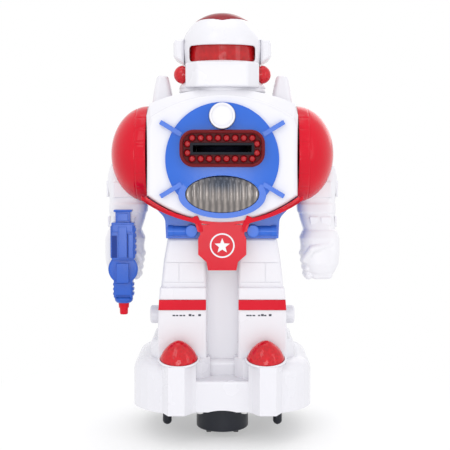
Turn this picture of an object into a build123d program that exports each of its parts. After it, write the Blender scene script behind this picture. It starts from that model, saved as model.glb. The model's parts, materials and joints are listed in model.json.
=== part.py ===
from build123d import *
import os
from math import cos, sin, pi, radians, sqrt, tan, acos, degrees

# Toy robot, 332 mm tall. Millimetres. +Z up, the robot faces -Y, its own left
# side is at +X. Origin on the floor below the middle of the robot.

os.makedirs("parts", exist_ok=True)

# ---------------------------------------------------------------- dimensions
WALL = 2.2            # moulded shell wall
PART_Y = 2.0          # parting plane between front and rear shells
# base and legs
BASE_Z = 24.0         # underside of the base above the floor
BASE_X = 70.0         # half width over the feet
FOOT_Y = -57.0        # toe face
HEEL_Y = 57.0         # heel face
WAIST_Z = 156.0       # top of the legs, underside of the waist
LEG_IN = 12.3         # inner face of each leg
# torso
TORSO_X = 58.0        # half width
TORSO_F = -42.0       # front face
TORSO_B = 38.0        # back face
CHEST_Z = 217.0       # centre of the chest plate
CHEST_R = 43.0
SLOT_W, SLOT_H, SLOT_Z = 44.0, 5.2, 225.0
BEZEL_W, BEZEL_H, BEZEL_R = 64.0, 28.0, 10.5
LENS_A, LENS_B, LENS_Z = 28.0, 14.2, 190.7
BUTTON_R, BUTTON_Z = 9.7, 249.6
BUTTON_TRAVEL = 2.0
SCREW_L, SCREW_SEAT = 14.0, 10.0   # case screws: shank length, seat behind the parting plane
# head
RIM_Z = 272.0
HEAD_Y = 1.0          # helmet axis
VISOR_Z0, VISOR_Z1, VISOR_X = 292.9, 304.4, 25.3
# shoulders and arms
SHOULDER_Z = 220.5
CAP_X0 = 58.6         # inner face of the shoulder cap
CAP_RX, CAP_RY, CAP_RZ = 29.8, 37.0, 38.2
# turret
TUR_Y = -14.0
DRUM_R = 20.5
DRUM_Z0 = 5.0
WHEEL_R = 12.5
# rear wheels
REAR_Y, REAR_R, REAR_X = 37.0, 14.0, 41.0
# skids
SKID_X, SKID_Y, SKID_Z0 = 44.2, -8.0, 4.2
# blaster
GUN_X = -76.2
GUN_Y = -30.0         # barrel axis
# disc launcher
DISC_R, DISC_T = 20.0, 3.6
MAG_Y = 2.0
# gears
MOD = 0.5
N_AXLE, N_IDLER, N_PINION = 20, 24, 8

made = {}


def save(name, shape):
    solids = [k for part in shape for k in part.solids()] if isinstance(shape, list) else shape.solids()
    keep = [s for s in solids if s.volume > 0.5]
    out = keep[0] if len(keep) == 1 else Compound(keep)
    made[name] = out
    export_step(out, f"parts/{name}.step")
    print(f"{name:24s} solids {len(keep)} volume {sum(s.volume for s in keep):10.1f}")


def box(x0, x1, y0, y1, z0, z1, r=0.0, axis=None):
    b = Pos((x0 + x1) / 2, (y0 + y1) / 2, (z0 + z1) / 2) * Box(x1 - x0, y1 - y0, z1 - z0)
    if r > 0:
        edges = b.edges() if axis is None else b.edges().filter_by(axis)
        b = fillet(edges, r)
    return b


def cyl_x(x0, x1, y, z, r):
    return Pos((x0 + x1) / 2, y, z) * Rot(0, 90, 0) * Cylinder(r, abs(x1 - x0))


def cyl_y(y0, y1, x, z, r):
    return Pos(x, (y0 + y1) / 2, z) * Rot(90, 0, 0) * Cylinder(r, abs(y1 - y0))


def cyl_z(z0, z1, x, y, r):
    return Pos(x, y, (z0 + z1) / 2) * Cylinder(r, abs(z1 - z0))


def prism_y(sketch, y0, y1):
    """A sketch drawn with x to the right and y up becomes a solid from y0 to y1."""
    plane = Plane(origin=(0, y1, 0), x_dir=(1, 0, 0), z_dir=(0, -1, 0))
    return extrude(plane * sketch, amount=y1 - y0)


def sect_y(sketch, y):
    return Plane(origin=(0, y, 0), x_dir=(1, 0, 0), z_dir=(0, -1, 0)) * sketch


def poly(pts):
    return make_face(Polyline(*pts, close=True))


def mirror_x(shape):
    return mirror(shape, about=Plane.YZ)


def soft(shape, edges, radius):
    """Fillet, stepping down if the radius is too much for the edges."""
    for f in (1.0, 0.7, 0.45, 0.25):
        try:
            out = fillet(edges, radius * f)
            if out.is_valid and out.volume > 0:
                return out
        except Exception:
            pass
    print("  no fillet", radius)
    return shape


def near_y(shape, y, tol=0.05):
    return [e for e in shape.edges() if abs(e.bounding_box().min.Y - y) < tol and abs(e.bounding_box().max.Y - y) < tol]


def near_z(shape, z, tol=0.05):
    return [e for e in shape.edges() if abs(e.bounding_box().min.Z - z) < tol and abs(e.bounding_box().max.Z - z) < tol]


def front_half(s):
    return s & box(-200, 200, -200, PART_Y, -10, 400)


def back_half(s):
    return s & box(-200, 200, PART_Y, 200, -10, 400)


def gear(teeth, width, bore, thin=0.12):
    """Involute spur gear along +X from x=0, tooth centred on +Z, flanks thinned for backlash."""
    rp, alpha = MOD * teeth / 2, radians(20)
    rb, ra, rr = rp * cos(alpha), rp + 0.94 * MOD, max(rp - 1.2 * MOD, 0.4)
    inv = tan(alpha) - alpha
    half = pi / (2 * teeth) - thin / (2 * rp)

    def at(r):
        if r <= rb:
            return half + inv
        a = acos(rb / r)
        return half + inv - (tan(a) - a)

    rs = [max(rb, rr + 0.02) + (ra - max(rb, rr + 0.02)) * t / 2 for t in range(3)]
    pts = []
    for k in range(teeth):
        c = 2 * pi * k / teeth
        left = [(r, c - at(r)) for r in rs]
        right = [(r, c + at(r)) for r in reversed(rs)]
        pts += [(rr, c - at(rb))] + left + right + [(rr, c + at(rb))]
    xy = [(r * sin(a), r * cos(a)) for r, a in pts]
    plane = Plane(origin=(0, 0, 0), x_dir=(0, 1, 0), z_dir=(1, 0, 0))
    g = extrude(plane * poly(xy), amount=width)
    return g - cyl_x(-1, width + 1, 0, 0, bore)


def screw_y(x, y_head, z, length, r_head=2.6, r=1.25, sign=1):
    """Pan head facing sign*Y, shank running the other way, cross recess."""
    head = cyl_y(y_head - sign * 1.6, y_head, x, z, r_head)
    shank = cyl_y(y_head - sign * (1.6 + length), y_head - sign * 1.5, x, z, r)
    cross = box(x - 1.5, x + 1.5, y_head - 0.8, y_head + 0.8, z - 0.3, z + 0.3) + box(
        x - 0.3, x + 0.3, y_head - 0.8, y_head + 0.8, z - 1.5, z + 1.5)
    return head + shank - cross


def screw_z(x, y, z_head, length, r_head=2.6, r=1.25):
    """Pan head facing down at z_head, shank up."""
    head = cyl_z(z_head, z_head + 1.6, x, y, r_head)
    shank = cyl_z(z_head + 1.5, z_head + 1.6 + length, x, y, r)
    cross = box(x - 1.5, x + 1.5, y - 0.3, y + 0.3, z_head - 0.8, z_head + 0.8) + box(
        x - 0.3, x + 0.3, y - 1.5, y + 1.5, z_head - 0.8, z_head + 0.8)
    return head + shank - cross


# =================================================================== HELMET
def helmet_solid(d=0.0):
    """Turned outer form of the helmet, shrunk by d all round."""
    a, b, c, e = (34.2 - d, RIM_Z + 2.4), (29.6 - d, 285.6), (31.0 - d, 293.0), (32.0 - d, 303.0)
    m1 = (30.6 - d, 279.0)
    f1, f2 = (30.4 - d, 312.8 - 0.2 * d), (25.2 - 0.75 * d, 320.9 - 0.6 * d)
    g1, g2 = (15.4 - 0.45 * d, 328.7 - 0.9 * d), (2.4, 332.0 - d)
    prof = make_face([
        Line((0, RIM_Z), (34.4 - d, RIM_Z)), Line((34.4 - d, RIM_Z), a), ThreePointArc(a, m1, b), Line(b, c), Line(c, e),
        ThreePointArc(e, f1, f2), ThreePointArc(f2, g1, g2), Line(g2, (0, 332.0 - d)),
        Line((0, 332.0 - d), (0, RIM_Z))])
    return Pos(0, HEAD_Y, 0) * revolve(Plane.XZ * prof, axis=Axis.Z, revolution_arc=360)


def guard_solid(d=0.0):
    """Face guard below the visor, flat in front with angled cheeks."""
    face = poly([(-19.5 + 0.4 * d, -36.3 + d), (19.5 - 0.4 * d, -36.3 + d), (28.4 - d, -25.0 + 0.4 * d), (28.4 - d, 0),
                 (-28.4 + d, 0), (-28.4 + d, -25.0 + 0.4 * d)])
    g = extrude(Plane.XY.offset(RIM_Z + (0 if d == 0 else 2.2)) * face, amount=19.4 - (0 if d == 0 else 2.2 + d))
    return soft(g, near_z(g, RIM_Z + 19.4), 1.2) if d == 0 else g


helm_out = helmet_solid(0)
helm_in = helmet_solid(WALL) & box(-60, 60, -60, 60, RIM_Z + 2.2, 340)
leaf = make_face([ThreePointArc((0, -20.6), (13.2, -13.0), (21.5, 1)), ThreePointArc((21.5, 1), (13.2, 15.0), (0, 22.6)),
                  ThreePointArc((0, 22.6), (-13.2, 15.0), (-21.5, 1)), ThreePointArc((-21.5, 1), (-13.2, -13.0), (0, -20.6))])
leaf_prism = extrude(Plane.XY.offset(310) * leaf, amount=40)
helm_recess = helmet_solid(1.1)
crown = (helm_out & leaf_prism) - helm_recess
dome = helm_out - helm_in
dome = dome - crown
visor_cut = box(-VISOR_X, VISOR_X, -60, -4, VISOR_Z0, VISOR_Z1)
visor_cut = fillet(visor_cut.edges().filter_by(Axis.Y), 1.6)
lamp_axis_z, lamp_r = 283.2, 7.2
LAMP_Y = HEAD_Y - 8
neck_open = cyl_z(RIM_Z - 1, RIM_Z + 3, 0, HEAD_Y, 27.0)
lamp_bore = cyl_x(-34.5, 34.5, LAMP_Y, lamp_axis_z, lamp_r - 0.6)
helm_front = dome & box(-60, 60, -60, HEAD_Y + 3, 260, 340)
helm_front = (helm_front + (guard_solid(0) & box(-60, 60, -60, HEAD_Y + 3, 260, 340))) - guard_solid(WALL) - helm_in
helm_front = helm_front - visor_cut - neck_open - lamp_bore
helm_rear = dome & box(-60, 60, HEAD_Y + 3, 60, 260, 340)
helm_rear = helm_rear - neck_open - lamp_bore
save("helmet_front", helm_front)
save("helmet_rear", helm_rear)
save("crown_inlay", crown)

# visor: a curved band behind the opening
vis = revolve(Plane.XZ * Pos(27.0, (VISOR_Z0 + VISOR_Z1) / 2) * Rectangle(1.4, VISOR_Z1 - VISOR_Z0 + 4.0), axis=Axis.Z, revolution_arc=360)
vis = (Pos(0, HEAD_Y, 0) * vis) & box(-25.0, 25.0, -60, -4, 280, 320)
save("visor", vis)


def ear_pod():
    prof = poly([(30.0, 291.0), (36.8, 295.2), (38.3, 297.5), (38.3, 307.6), (36.6, 310.2), (30.0, 310.6)])
    pod = prism_y(prof, HEAD_Y - 13, HEAD_Y + 15)
    pod = soft(pod, near_y(pod, HEAD_Y - 13) + near_y(pod, HEAD_Y + 15), 2.5)
    pod = pod - helm_out
    pod = pod - (cyl_x(37.6, 40, HEAD_Y + 1, 302, 5.0) - cyl_x(37, 40, HEAD_Y + 1, 302, 3.6))
    return max(pod.solids(), key=lambda k: k.volume)


pod = ear_pod()
save("ear_pods", [pod, mirror_x(pod)])


def cheek_lamp():
    prof = make_face([Line((0, 33.4), (5.0, 31.2)), Line((5.0, 31.2), (5.0, 28.0)), Line((5.0, 28.0), (6.45, 28.0)),
                      Line((6.45, 28.0), (6.45, 30.4)), Line((6.45, 30.4), (lamp_r, 30.4)),
                      ThreePointArc((lamp_r, 30.4), (5.2, 36.0), (0, 38.2)), Line((0, 38.2), (0, 33.4))])
    lamp = revolve(Plane.XY * prof, axis=Axis.Y, revolution_arc=360)
    lamp = Pos(0, LAMP_Y, lamp_axis_z) * Rot(0, 0, -90) * lamp
    lamp = lamp - (helm_out - lamp_bore)
    return max(lamp.solids(), key=lambda k: k.volume)


lamp = cheek_lamp()
save("cheek_lamps", [lamp, mirror_x(lamp)])

# head base: floor of the helmet with the neck spigot that turns in the torso
neck = cyl_z(RIM_Z - 0.6, RIM_Z + 2.0, 0, HEAD_Y, 26.8)
neck = neck + cyl_z(262.2, RIM_Z + 0.5, 0, HEAD_Y, 13.0)
neck = neck + cyl_z(264.4, 266.2, 0, HEAD_Y, 16.5)
neck = neck + box(-2.0, 2.0, HEAD_Y + 15.0, HEAD_Y + 19.4, 264.4, 266.2)
neck = neck + cyl_z(RIM_Z + 1.5, RIM_Z + 9.0, -16, HEAD_Y + 10, 2.6) + cyl_z(RIM_Z + 1.5, RIM_Z + 9.0, 16, HEAD_Y + 10, 2.6)
neck = neck - cyl_z(255, 280, 0, HEAD_Y, 9.5)
save("head_base", neck)

hb = box(-20, 20, HEAD_Y + 8, HEAD_Y + 9.6, 281.2, 305)
for x in (-14, 0, 14):
    led = cyl_y(HEAD_Y + 1, HEAD_Y + 8.2, x, 298.6, 2.5) + Pos(x, HEAD_Y + 1, 298.6) * Sphere(2.5)
    hb = hb + led
save("head_light_board", hb)

# ==================================================================== TORSO
def torso_profile(x, zb, zc, z_side, z_top, d=0.0):
    """x half width, zb bottom of arc, zc bottom corner, z_side shoulder corner, z_top crown of the arc."""
    xa = x - 2.6
    return make_face([
        ThreePointArc((-x, zc), (0, zb), (x, zc)), Line((x, zc), (x, z_side - 9.0)), Line((x, z_side - 9.0), (xa, z_side)),
        ThreePointArc((xa, z_side), (0, z_top), (-xa, z_side)), Line((-xa, z_side), (-x, z_side - 9.0)),
        Line((-x, z_side - 9.0), (-x, zc))])


def torso_solid(d=0.0, soften=True):
    a = torso_profile(TORSO_X - d, 169.5 + d, 189.0 + 0.7 * d, 259.5 - d, 271.0 - d)
    b = torso_profile(TORSO_X - 1.0 - d, 169.5 + d, 189.2 + 0.7 * d, 249.0 - d, 265.8 - d)
    body = prism_y(a, -31.0, TORSO_B - d)
    nose = loft([sect_y(a, -31.0), sect_y(b, -38.5 + 0.6 * d)], ruled=True)
    tip = prism_y(b, TORSO_F + d, -38.5 + 0.6 * d)
    t = body + nose + tip
    if soften:
        t = soft(t, near_y(t, TORSO_F + d), 2.6)
        t = soft(t, near_y(t, TORSO_B - d), 7.0)
    return t


torso_out = torso_solid(0)
torso_in = torso_solid(WALL, soften=False)
tongue = prism_y(poly([(-19.4, 174), (-16.4, 167.5), (16.4, 167.5), (19.4, 174)]), TORSO_F + 0.4, TORSO_F + 5.5)
torso = (torso_out + tongue) - torso_in
# neck opening, shoulder openings, floor opening
torso = torso - cyl_z(250, 280, 0, HEAD_Y, 13.15)
for s in (-1, 1):
    torso = torso - cyl_x(s * 50, s * 62, 0, SHOULDER_Z, 8.15)
torso = torso - box(-38, 38, -24, 26, 160, 186)
# chest openings
slot_hole = box(-25.5, 25.5, -60, -30, SLOT_Z - 6.2, SLOT_Z + 6.2)
lens_hole = prism_y(Pos(0, LENS_Z) * Ellipse(LENS_A - 2, LENS_B - 2), -60, -30)
button_hole = cyl_y(-60, -30, 0, BUTTON_Z, BUTTON_R + 0.45)
torso = torso - slot_hole - lens_hole - button_hole
# speaker grille in the back
grille = [Pos(ix * 4.2, 232 + iz * 4.2) * Circle(1.1) for ix in range(-2, 3) for iz in range(-2, 3) if ix * ix + iz * iz <= 6]
torso = torso - prism_y(Sketch() + grille, 30, 45)
# switch slot, screw bores in the back
torso = torso - box(-5.2, 5.2, 30, 45, 198.4, 203.6)
SCREWS_T = [(-44, 246), (44, 246), (-44, 200), (44, 200)]
torso_back = back_half(torso)
torso_front = front_half(torso)
for x, z in SCREWS_T:
    boss = cyl_y(PART_Y, TORSO_B - 1.0, x, z, 4.4) & torso_out
    torso_back = torso_back + boss
    torso_back = torso_back - cyl_y(SCREW_SEAT, 60, x, z, 3.0) - cyl_y(-60, 60, x, z, 1.5)
    post = cyl_y(TORSO_F + 1.0, PART_Y, x, z, 3.6)
    torso_front = torso_front + (post & torso_out) - cyl_y(-6.0, 60, x, z, 1.3)
# guide for the shoulder spindles: a stop rib for the neck key
neck_stop = box(-3.5, 3.5, HEAD_Y - 23, HEAD_Y - 17.4, 262.5, 269.6)
torso_front = torso_front + (neck_stop & torso_out)
# bracket behind the fire button, hung from the shoulder line
bracket = box(-13, 13, -37.0, -35.4, 241.0, 266.0) + cyl_y(-37.6, -36.9, 0, BUTTON_Z, 2.4)
torso_front = torso_front + (bracket & torso_out)
save("torso_front", torso_front)
save("torso_back", torso_back)
screws = [screw_y(x, SCREW_SEAT + 1.6, z, SCREW_L) for x, z in SCREWS_T]


def post_solid(s):
    secs = [Plane.XY.offset(255) * Pos(47.2, 0) * RectangleRounded(17.5, 22, 4.5),
            Plane.XY.offset(268) * Pos(47.2, 0) * RectangleRounded(14.6, 18, 4.5),
            Plane.XY.offset(282.6) * Pos(47.3, 0) * RectangleRounded(8.6, 12, 3.6)]
    p = loft(secs)
    p = soft(p, near_z(p, 282.6), 2.2)
    p = p - torso_out
    p = max(p.solids(), key=lambda k: k.volume)
    return p if s > 0 else mirror_x(p)


post_l = post_solid(1)
save("shoulder_posts", [post_l, mirror_x(post_l)])

# chest plate: shallow dome with four radial tabs
dome_r = 300.0
dome2d = make_face([ThreePointArc((0, 47.4), (CHEST_R / 2, 46.6), (CHEST_R, 44.3)), Line((CHEST_R, 44.3), (CHEST_R, -TORSO_F)),
                    Line((CHEST_R, -TORSO_F), (0, -TORSO_F)), Line((0, -TORSO_F), (0, 47.4))])
plate = Pos(0, 0, CHEST_Z) * Rot(0, 0, 180) * revolve(dome2d, axis=Axis.Y, revolution_arc=360)
plate = plate + prism_y(Pos(0, LENS_Z - 0.6) * Ellipse(LENS_A + 5.2, LENS_B + 3.4), -45.4, TORSO_F)
tabs = None
for a in (31, 149, 211, 329):
    tb = Pos(0, CHEST_Z) * Rot(0, 0, a) * Pos(45.2, 0) * RectangleRounded(18.4, 3.5, 0.5)
    t = prism_y(tb, -45.6, TORSO_F)
    tabs = t if tabs is None else tabs + t
plate = plate + tabs
bez2d = Pos(0, SLOT_Z + 0.2) * RectangleRounded(BEZEL_W - 3.0, BEZEL_H - 3.0, BEZEL_R - 1.5)
plate = plate - prism_y(bez2d, -60, -40)
plate = plate - prism_y(Pos(0, LENS_Z) * Ellipse(LENS_A, LENS_B), -60, -40)
plate = plate - cyl_y(-60, -40, 0, BUTTON_Z, BUTTON_R + 0.45)
save("chest_plate", plate)

# lamp bezel: clear red frame with twenty lens bumps around the slot
bz_out = prism_y(Pos(0, SLOT_Z + 0.2) * RectangleRounded(BEZEL_W, BEZEL_H, BEZEL_R), -51.6, -47.6)
bz_in = prism_y(Pos(0, SLOT_Z + 0.2) * RectangleRounded(BEZEL_W - 3.2, BEZEL_H - 3.2, BEZEL_R - 1.6), -49, TORSO_F)
bezel = bz_out + bz_in
bezel = bezel - prism_y(Pos(0, SLOT_Z + 0.2) * RectangleRounded(BEZEL_W - 6.4, BEZEL_H - 6.4, BEZEL_R - 3.2), -60, -49.4)
bumps = [(x, dz) for dz in (-7.8, 7.8) for x in (-22.5, -16.1, -9.65, -3.2, 3.2, 9.65, 16.1, 22.5)]
bumps += [(x, dz) for x in (-26.0, 26.0) for dz in (-3.4, 3.4)]
for x, dz in bumps:
    bezel = bezel + cyl_y(-51.2, -49.0, x, SLOT_Z + 0.2 + dz, 2.2)
bezel = bezel - box(-24.2, 24.2, -60, -30, SLOT_Z - 4.6, SLOT_Z + 4.6)
save("lamp_bezel", bezel)

# launch chute: dark tunnel that the discs leave through
ch = box(-24.0, 24.0, -50.6, -22.0, SLOT_Z - 4.4, SLOT_Z + 4.4)
ch = ch - box(-SLOT_W / 2, SLOT_W / 2, -60, 0, SLOT_Z - SLOT_H / 2, SLOT_Z + SLOT_H / 2)
ch = ch + (box(-28, 28, -38.6, -36.6, SLOT_Z - 9, SLOT_Z + 9) - box(-23.9, 23.9, -60, 0, SLOT_Z - 4.3, SLOT_Z + 4.3))
save("launch_chute", ch)

# belly lamp
lens = prism_y(Pos(0, LENS_Z) * Ellipse(LENS_A - 0.15, LENS_B - 0.15), -46.8, -44.4)
lens = soft(lens, near_y(lens, -46.8), 1.2)
lens_flange = prism_y(Pos(0, LENS_Z) * Ellipse(LENS_A - 2.2, LENS_B - 2.2), -44.5, -39.6) - prism_y(Pos(0, LENS_Z) * Ellipse(LENS_A - 3.4, LENS_B - 3.4), -60, -30)
save("belly_lens", lens + lens_flange)
ref_out = loft([sect_y(Pos(0, LENS_Z) * Ellipse(LENS_A - 3.6, LENS_B - 3.6), -44.2), sect_y(Pos(0, LENS_Z) * Ellipse(15, 8.2), -32)])
ref_in = loft([sect_y(Pos(0, LENS_Z) * Ellipse(LENS_A - 4.6, LENS_B - 4.6), -44.2), sect_y(Pos(0, LENS_Z) * Ellipse(14, 7.2), -33)])
refl = ref_out - ref_in - cyl_y(-60, -20, 0, LENS_Z, 3.0)
save("belly_reflector", refl)
bl = cyl_y(-38, -30.2, 0, LENS_Z, 2.7) + Pos(0, -38, LENS_Z) * Sphere(2.7) + box(-10, 10, -31.8, -30.2, LENS_Z - 7, LENS_Z + 7)
bl = cyl_y(-38, -31.9, 0, LENS_Z, 2.7) + Pos(0, -38, LENS_Z) * Sphere(2.7) + box(-10, 10, -31.9, -30.3, LENS_Z - 7, LENS_Z + 7)
save("belly_lamp", bl)

# fire button
btn = cyl_y(-53.2, -49.0, 0, BUTTON_Z, BUTTON_R)
btn = soft(btn, near_y(btn, -53.2), 0.9)
btn = btn + cyl_y(-49.2, -42.0, 0, BUTTON_Z, BUTTON_R)
btn = btn - (cyl_y(-60, -52.6, 0, BUTTON_Z, 8.0) - cyl_y(-60, -52.4, 0, BUTTON_Z, 7.3))
btn = btn + cyl_y(-53.5, -53.0, 0, BUTTON_Z, 1.1)
btn = btn - cyl_y(-50.5, -30, 0, BUTTON_Z, BUTTON_R - 1.8)
btn = btn + cyl_y(-51, -40.4, 0, BUTTON_Z, 2.6)
save("fire_button", btn)
# the spring round the stem
coil = Helix(pitch=2.1, height=11.6, radius=4.6)
wire = Plane(origin=coil @ 0, z_dir=coil % 0) * Circle(0.35)
spr = sweep(wire, path=coil)
spr = Pos(0, -37.7, BUTTON_Z) * Rot(90, 0, 0) * Pos(0, 0, 0.6) * spr
save("button_spring", spr)

# trim and shield, one red moulding under the torso front
arc_hi = ThreePointArc((-TORSO_X, 188.9), (0, 169.4), (TORSO_X, 188.9))
arc_lo = ThreePointArc((TORSO_X, 186.4), (0, 167.0), (-TORSO_X, 186.4))
band2d = make_face([arc_hi, Line((TORSO_X, 188.9), (TORSO_X, 186.4)), arc_lo, Line((-TORSO_X, 186.4), (-TORSO_X, 188.9))])
trim = prism_y(band2d, TORSO_F - 0.8, -30.0)
strip = poly([(-21.8, 172.6), (-19.0, 174.2), (-16.5, 167.5), (-16.5, 162), (-18.6, 162)])
sides = prism_y(strip, TORSO_F - 0.8, -36.0)
shield2d = poly([(-18.2, 168.3), (-16.5, 168.9), (-16.5, 167.4), (16.5, 167.4), (16.5, 168.9), (18.2, 168.3), (16.6, 160.2), (18.3, 156.6),
                 (18.3, 144.6), (12.0, 139.0), (10.8, 132.6), (-10.8, 132.6), (-12.0, 139.0), (-18.3, 144.6),
                 (-18.3, 156.6), (-16.6, 160.2)])
shield = prism_y(shield2d, TORSO_F - 0.8, -35.0)
# the shield leans back below the belt
shield = shield - prism_y(poly([(-40, 0), (40, 0), (40, 1), (-40, 1)]), 0, 1)
cutter = Pos(0, TORSO_F - 0.8, 141.0) * Rot(-32, 0, 0) * Pos(0, -20, -20) * Box(80, 40, 40)
shield = shield - cutter
trim = trim + sides + mirror_x(sides) + shield
trim = trim - torso_out - tongue
trim = max(trim.solids(), key=lambda k: k.volume) if len(trim.solids()) > 1 else trim
save("trim_shield", trim)

# emblem: a plain ring and a star, proud of the shield
EM_Z = 151.6
EM_Y = TORSO_F - 0.8
frame2d = Pos(0, EM_Z) * Circle(9.4) - Pos(0, EM_Z) * Circle(8.3)
star = []
for k in range(10):
    rr = 6.0 if k % 2 == 0 else 2.6
    star.append((rr * sin(pi * k / 5), EM_Z - 0.4 + rr * cos(pi * k / 5)))
emb = prism_y(frame2d, EM_Y - 0.5, EM_Y) + prism_y(poly(star), EM_Y - 0.5, EM_Y)
save("shield_emblem", emb)


# ==================================================================== WAIST
def waist_solid(d=0.0):
    lo = WAIST_Z + 0.2
    right = Spline((57.0 - d, 183.6), (48.5 - d, 176.6), (43.8 - d, 169.0), tangents=((-0.9, -0.32), (-0.12, -1)))
    left = Spline((-43.8 + d, 169.0), (-48.5 + d, 176.6), (-57.0 + d, 183.6), tangents=((-0.12, 1), (-0.9, 0.32)))
    prof = make_face([
        right, Line((43.8 - d, 169.0), (43.2 - d, lo)), Line((43.2 - d, lo), (-43.2 + d, lo)), Line((-43.2 + d, lo), (-43.8 + d, 169.0)),
        left, Line((-57.0 + d, 183.6), (-57.0 + d, 200)), Line((-57.0 + d, 200), (57.0 - d, 200)), Line((57.0 - d, 200), (57.0 - d, 183.6))])
    return prism_y(prof, -33.0 + d, 33.0 - d)


w_out = waist_solid(0) - torso_out
band_all = prism_y(band2d, TORSO_F - 0.8, -29.9)
w_out = w_out - band_all - tongue
w_out = max(w_out.solids(), key=lambda k: k.volume)
w_in = waist_solid(WALL) - box(-60, 60, -60, 60, 182, 260)
waist = w_out - (w_in & box(-41.0, 41.0, -30.6, 30.6, WAIST_Z + 2.4, 200))
waist = waist - box(-32, 32, -22, 22, 150, 200)
# side pockets and hydraulic-looking pipes either side of the shield
for s in (-1, 1):
    pipe = cyl_x(s * 21, s * 40.5, -33.6, 161.8, 4.1)
    collar = cyl_x(s * 37.5, s * 41.5, -33.6, 161.8, 4.7)
    knob = cyl_y(-39.6, -31.0, s * 23.4, 162.2, 4.9)
    knob = soft(knob, near_y(knob, -39.6), 0.8)
    block = box(min(s * 24, s * 36), max(s * 24, s * 36), -34.6, -32.0, 168.6, 175.6)
    waist = waist + pipe + collar + knob + (block - band_all - torso_out)
waist = waist - made["trim_shield"]
waist = max(waist.solids(), key=lambda k: k.volume)
save("waist", waist)

# ===================================================================== LEGS
POD = [(-44.8, -47.6), (-51.5, -44.4), (-57.6, -39.8), (-63.4, -33.2), (-67.6, -26.0), (-69.6, -19.0), (-70.0, -12.0),
       (-70.0, 38.0), (-68.0, 46.0), (-60.0, 52.0), (-40.0, 52.0), (-40.0, -47.0)]
TOE = [(-40.7, -57.0), (-28.3, -57.0), (-22.7, -48.6), (-20.0, -46.0), (-20.0, 0.0), (-46.5, 0.0), (-46.5, -44.0), (-45.4, -47.6)]


def plan(pts, z0, z1, d=0.0):
    sk = poly(pts)
    if d:
        sk = offset(sk, amount=-d, kind=Kind.INTERSECTION)
    return extrude(Plane.XY.offset(z0) * sk, amount=z1 - z0)


def elev(pts, y0, y1, d=0.0):
    sk = poly(pts)
    if d:
        sk = offset(sk, amount=-d, kind=Kind.INTERSECTION)
    return prism_y(sk, y0 + d, y1 - d)


SLOPE = 15.0


def leg_block(d=0.0):
    z0 = BASE_Z
    parts = []
    thigh = elev([(-LEG_IN, 100.0), (-LEG_IN, WAIST_Z + d), (-42.2, WAIST_Z + d), (-45.2, 138.6), (-47.6, 117.0), (-47.6, 100.0)], -29.0, 33.0, d)
    knee = elev([(-LEG_IN, 60.0), (-LEG_IN, 118.0), (-48.2, 118.0), (-49.4, 104.0), (-50.2, 78.0), (-50.2, 60.0)], -31.5, 35.0, d)
    if not d:
        thigh = soft(thigh, near_y(thigh, -29.0), 2.4)
        knee = soft(knee, near_y(knee, -31.5) + near_z(knee, 118.0), 1.6)
    parts += [thigh, knee]
    # ankle step and lamp saddle
    ankle = plan([(-56.0, -20.0), (-50.0, -28.0), (-16.0, -28.0), (-12.0, -24.0), (-12.0, 30.0), (-56.0, 30.0)], 50.0, 76.0 - d, d)
    if not d:
        ankle = soft(ankle, near_z(ankle, 76.0), 3.4)
    parts.append(ankle)
    inner = plan([(-20.0, -36.0), (-16.0, -36.0), (-9.5, -28.0), (-9.5, 20.0), (-20.0, 20.0)], 44.0, 63.0 - d, d if d < 3 else d)
    if not d:
        inner = soft(inner, near_z(inner, 63.0), 1.5)
        parts.append(inner)
    # toe block with the sloping instep
    toe = plan(TOE, z0, 76.0 - d, d)
    cut = Pos(0, FOOT_Y, 61.0 - d) * Rot(SLOPE, 0, 0) * Pos(0, 40, 25) * Box(200, 140, 50)
    toe = toe - cut
    parts.append(toe)
    # outer pod with the arched top
    pod = plan(POD, z0, 62.0 - d, d)
    if not d:
        pod = soft(pod, [e for e in near_z(pod, 62.0) if e.bounding_box().min.X < -41 and not (abs(e.bounding_box().min.X + 40) < .1 and abs(e.bounding_box().max.X + 40) < .1)], 11.0)
    else:
        pod = plan(POD, z0, 52.0, d)
    parts.append(pod)
    # heel
    heel = plan([(-62.0, 20.0), (-62.0, 52.0), (-57.0, HEEL_Y), (-10.0, HEEL_Y), (-10.0, 20.0)], z0, 58.0 - d, d)
    if not d:
        heel = soft(heel, near_z(heel, 58.0), 5.0)
    parts.append(heel)
    out = parts[0]
    for p in parts[1:]:
        out = out + p
    return out


def centre_block(d=0.0):
    base = plan([(-22, -46.0), (22, -46.0), (22, HEEL_Y), (-22, HEEL_Y)], BASE_Z, 47.8 - d, d if d else 0)
    web = plan([(-14, -19.0), (14, -19.0), (14, 29.0), (-14, 29.0)], 40.0, WAIST_Z + d, d)
    fillet_web = plan([(-14, -24.0), (14, -24.0), (14, 0), (-14, 0)], 40.0, 60.0 - d, d)
    if not d:
        base = soft(base, near_z(base, 47.8), 1.5)
        fillet_web = soft(fillet_web, [e for e in near_z(fillet_web, 60.0)], 4.0)
    return base + web + fillet_web


lb = leg_block(0)
legs_out = lb + mirror_x(lb) + centre_block(0)
li = leg_block(WALL)
cav = li + mirror_x(li) + centre_block(WALL)
# join the cavities so that wires and frames pass between them
cav = cav + box(-44, 44, -16, 30, 30, 60) + box(-40, 40, -12, 26, 60, WAIST_Z + 1) + box(-17, 17, -43.5, 50, BASE_Z - 1, 44)
cav = cav + box(-24, 24, -43.4, 10, BASE_Z - 1, 44)
cav = cav + box(-60, 60, -16, 44, BASE_Z - 1, 45.5) + box(-60, -12.4, -16, 44, BASE_Z - 1, 50) + box(12.4, 60, -16, 44, BASE_Z - 1, 50)
cav = cav + box(-24, 24, -8, 54.5, BASE_Z - 1, 45.5)
cav = cav & box(-200, 200, -200, 200, BASE_Z + 2.4, WAIST_Z + 1)
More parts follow.
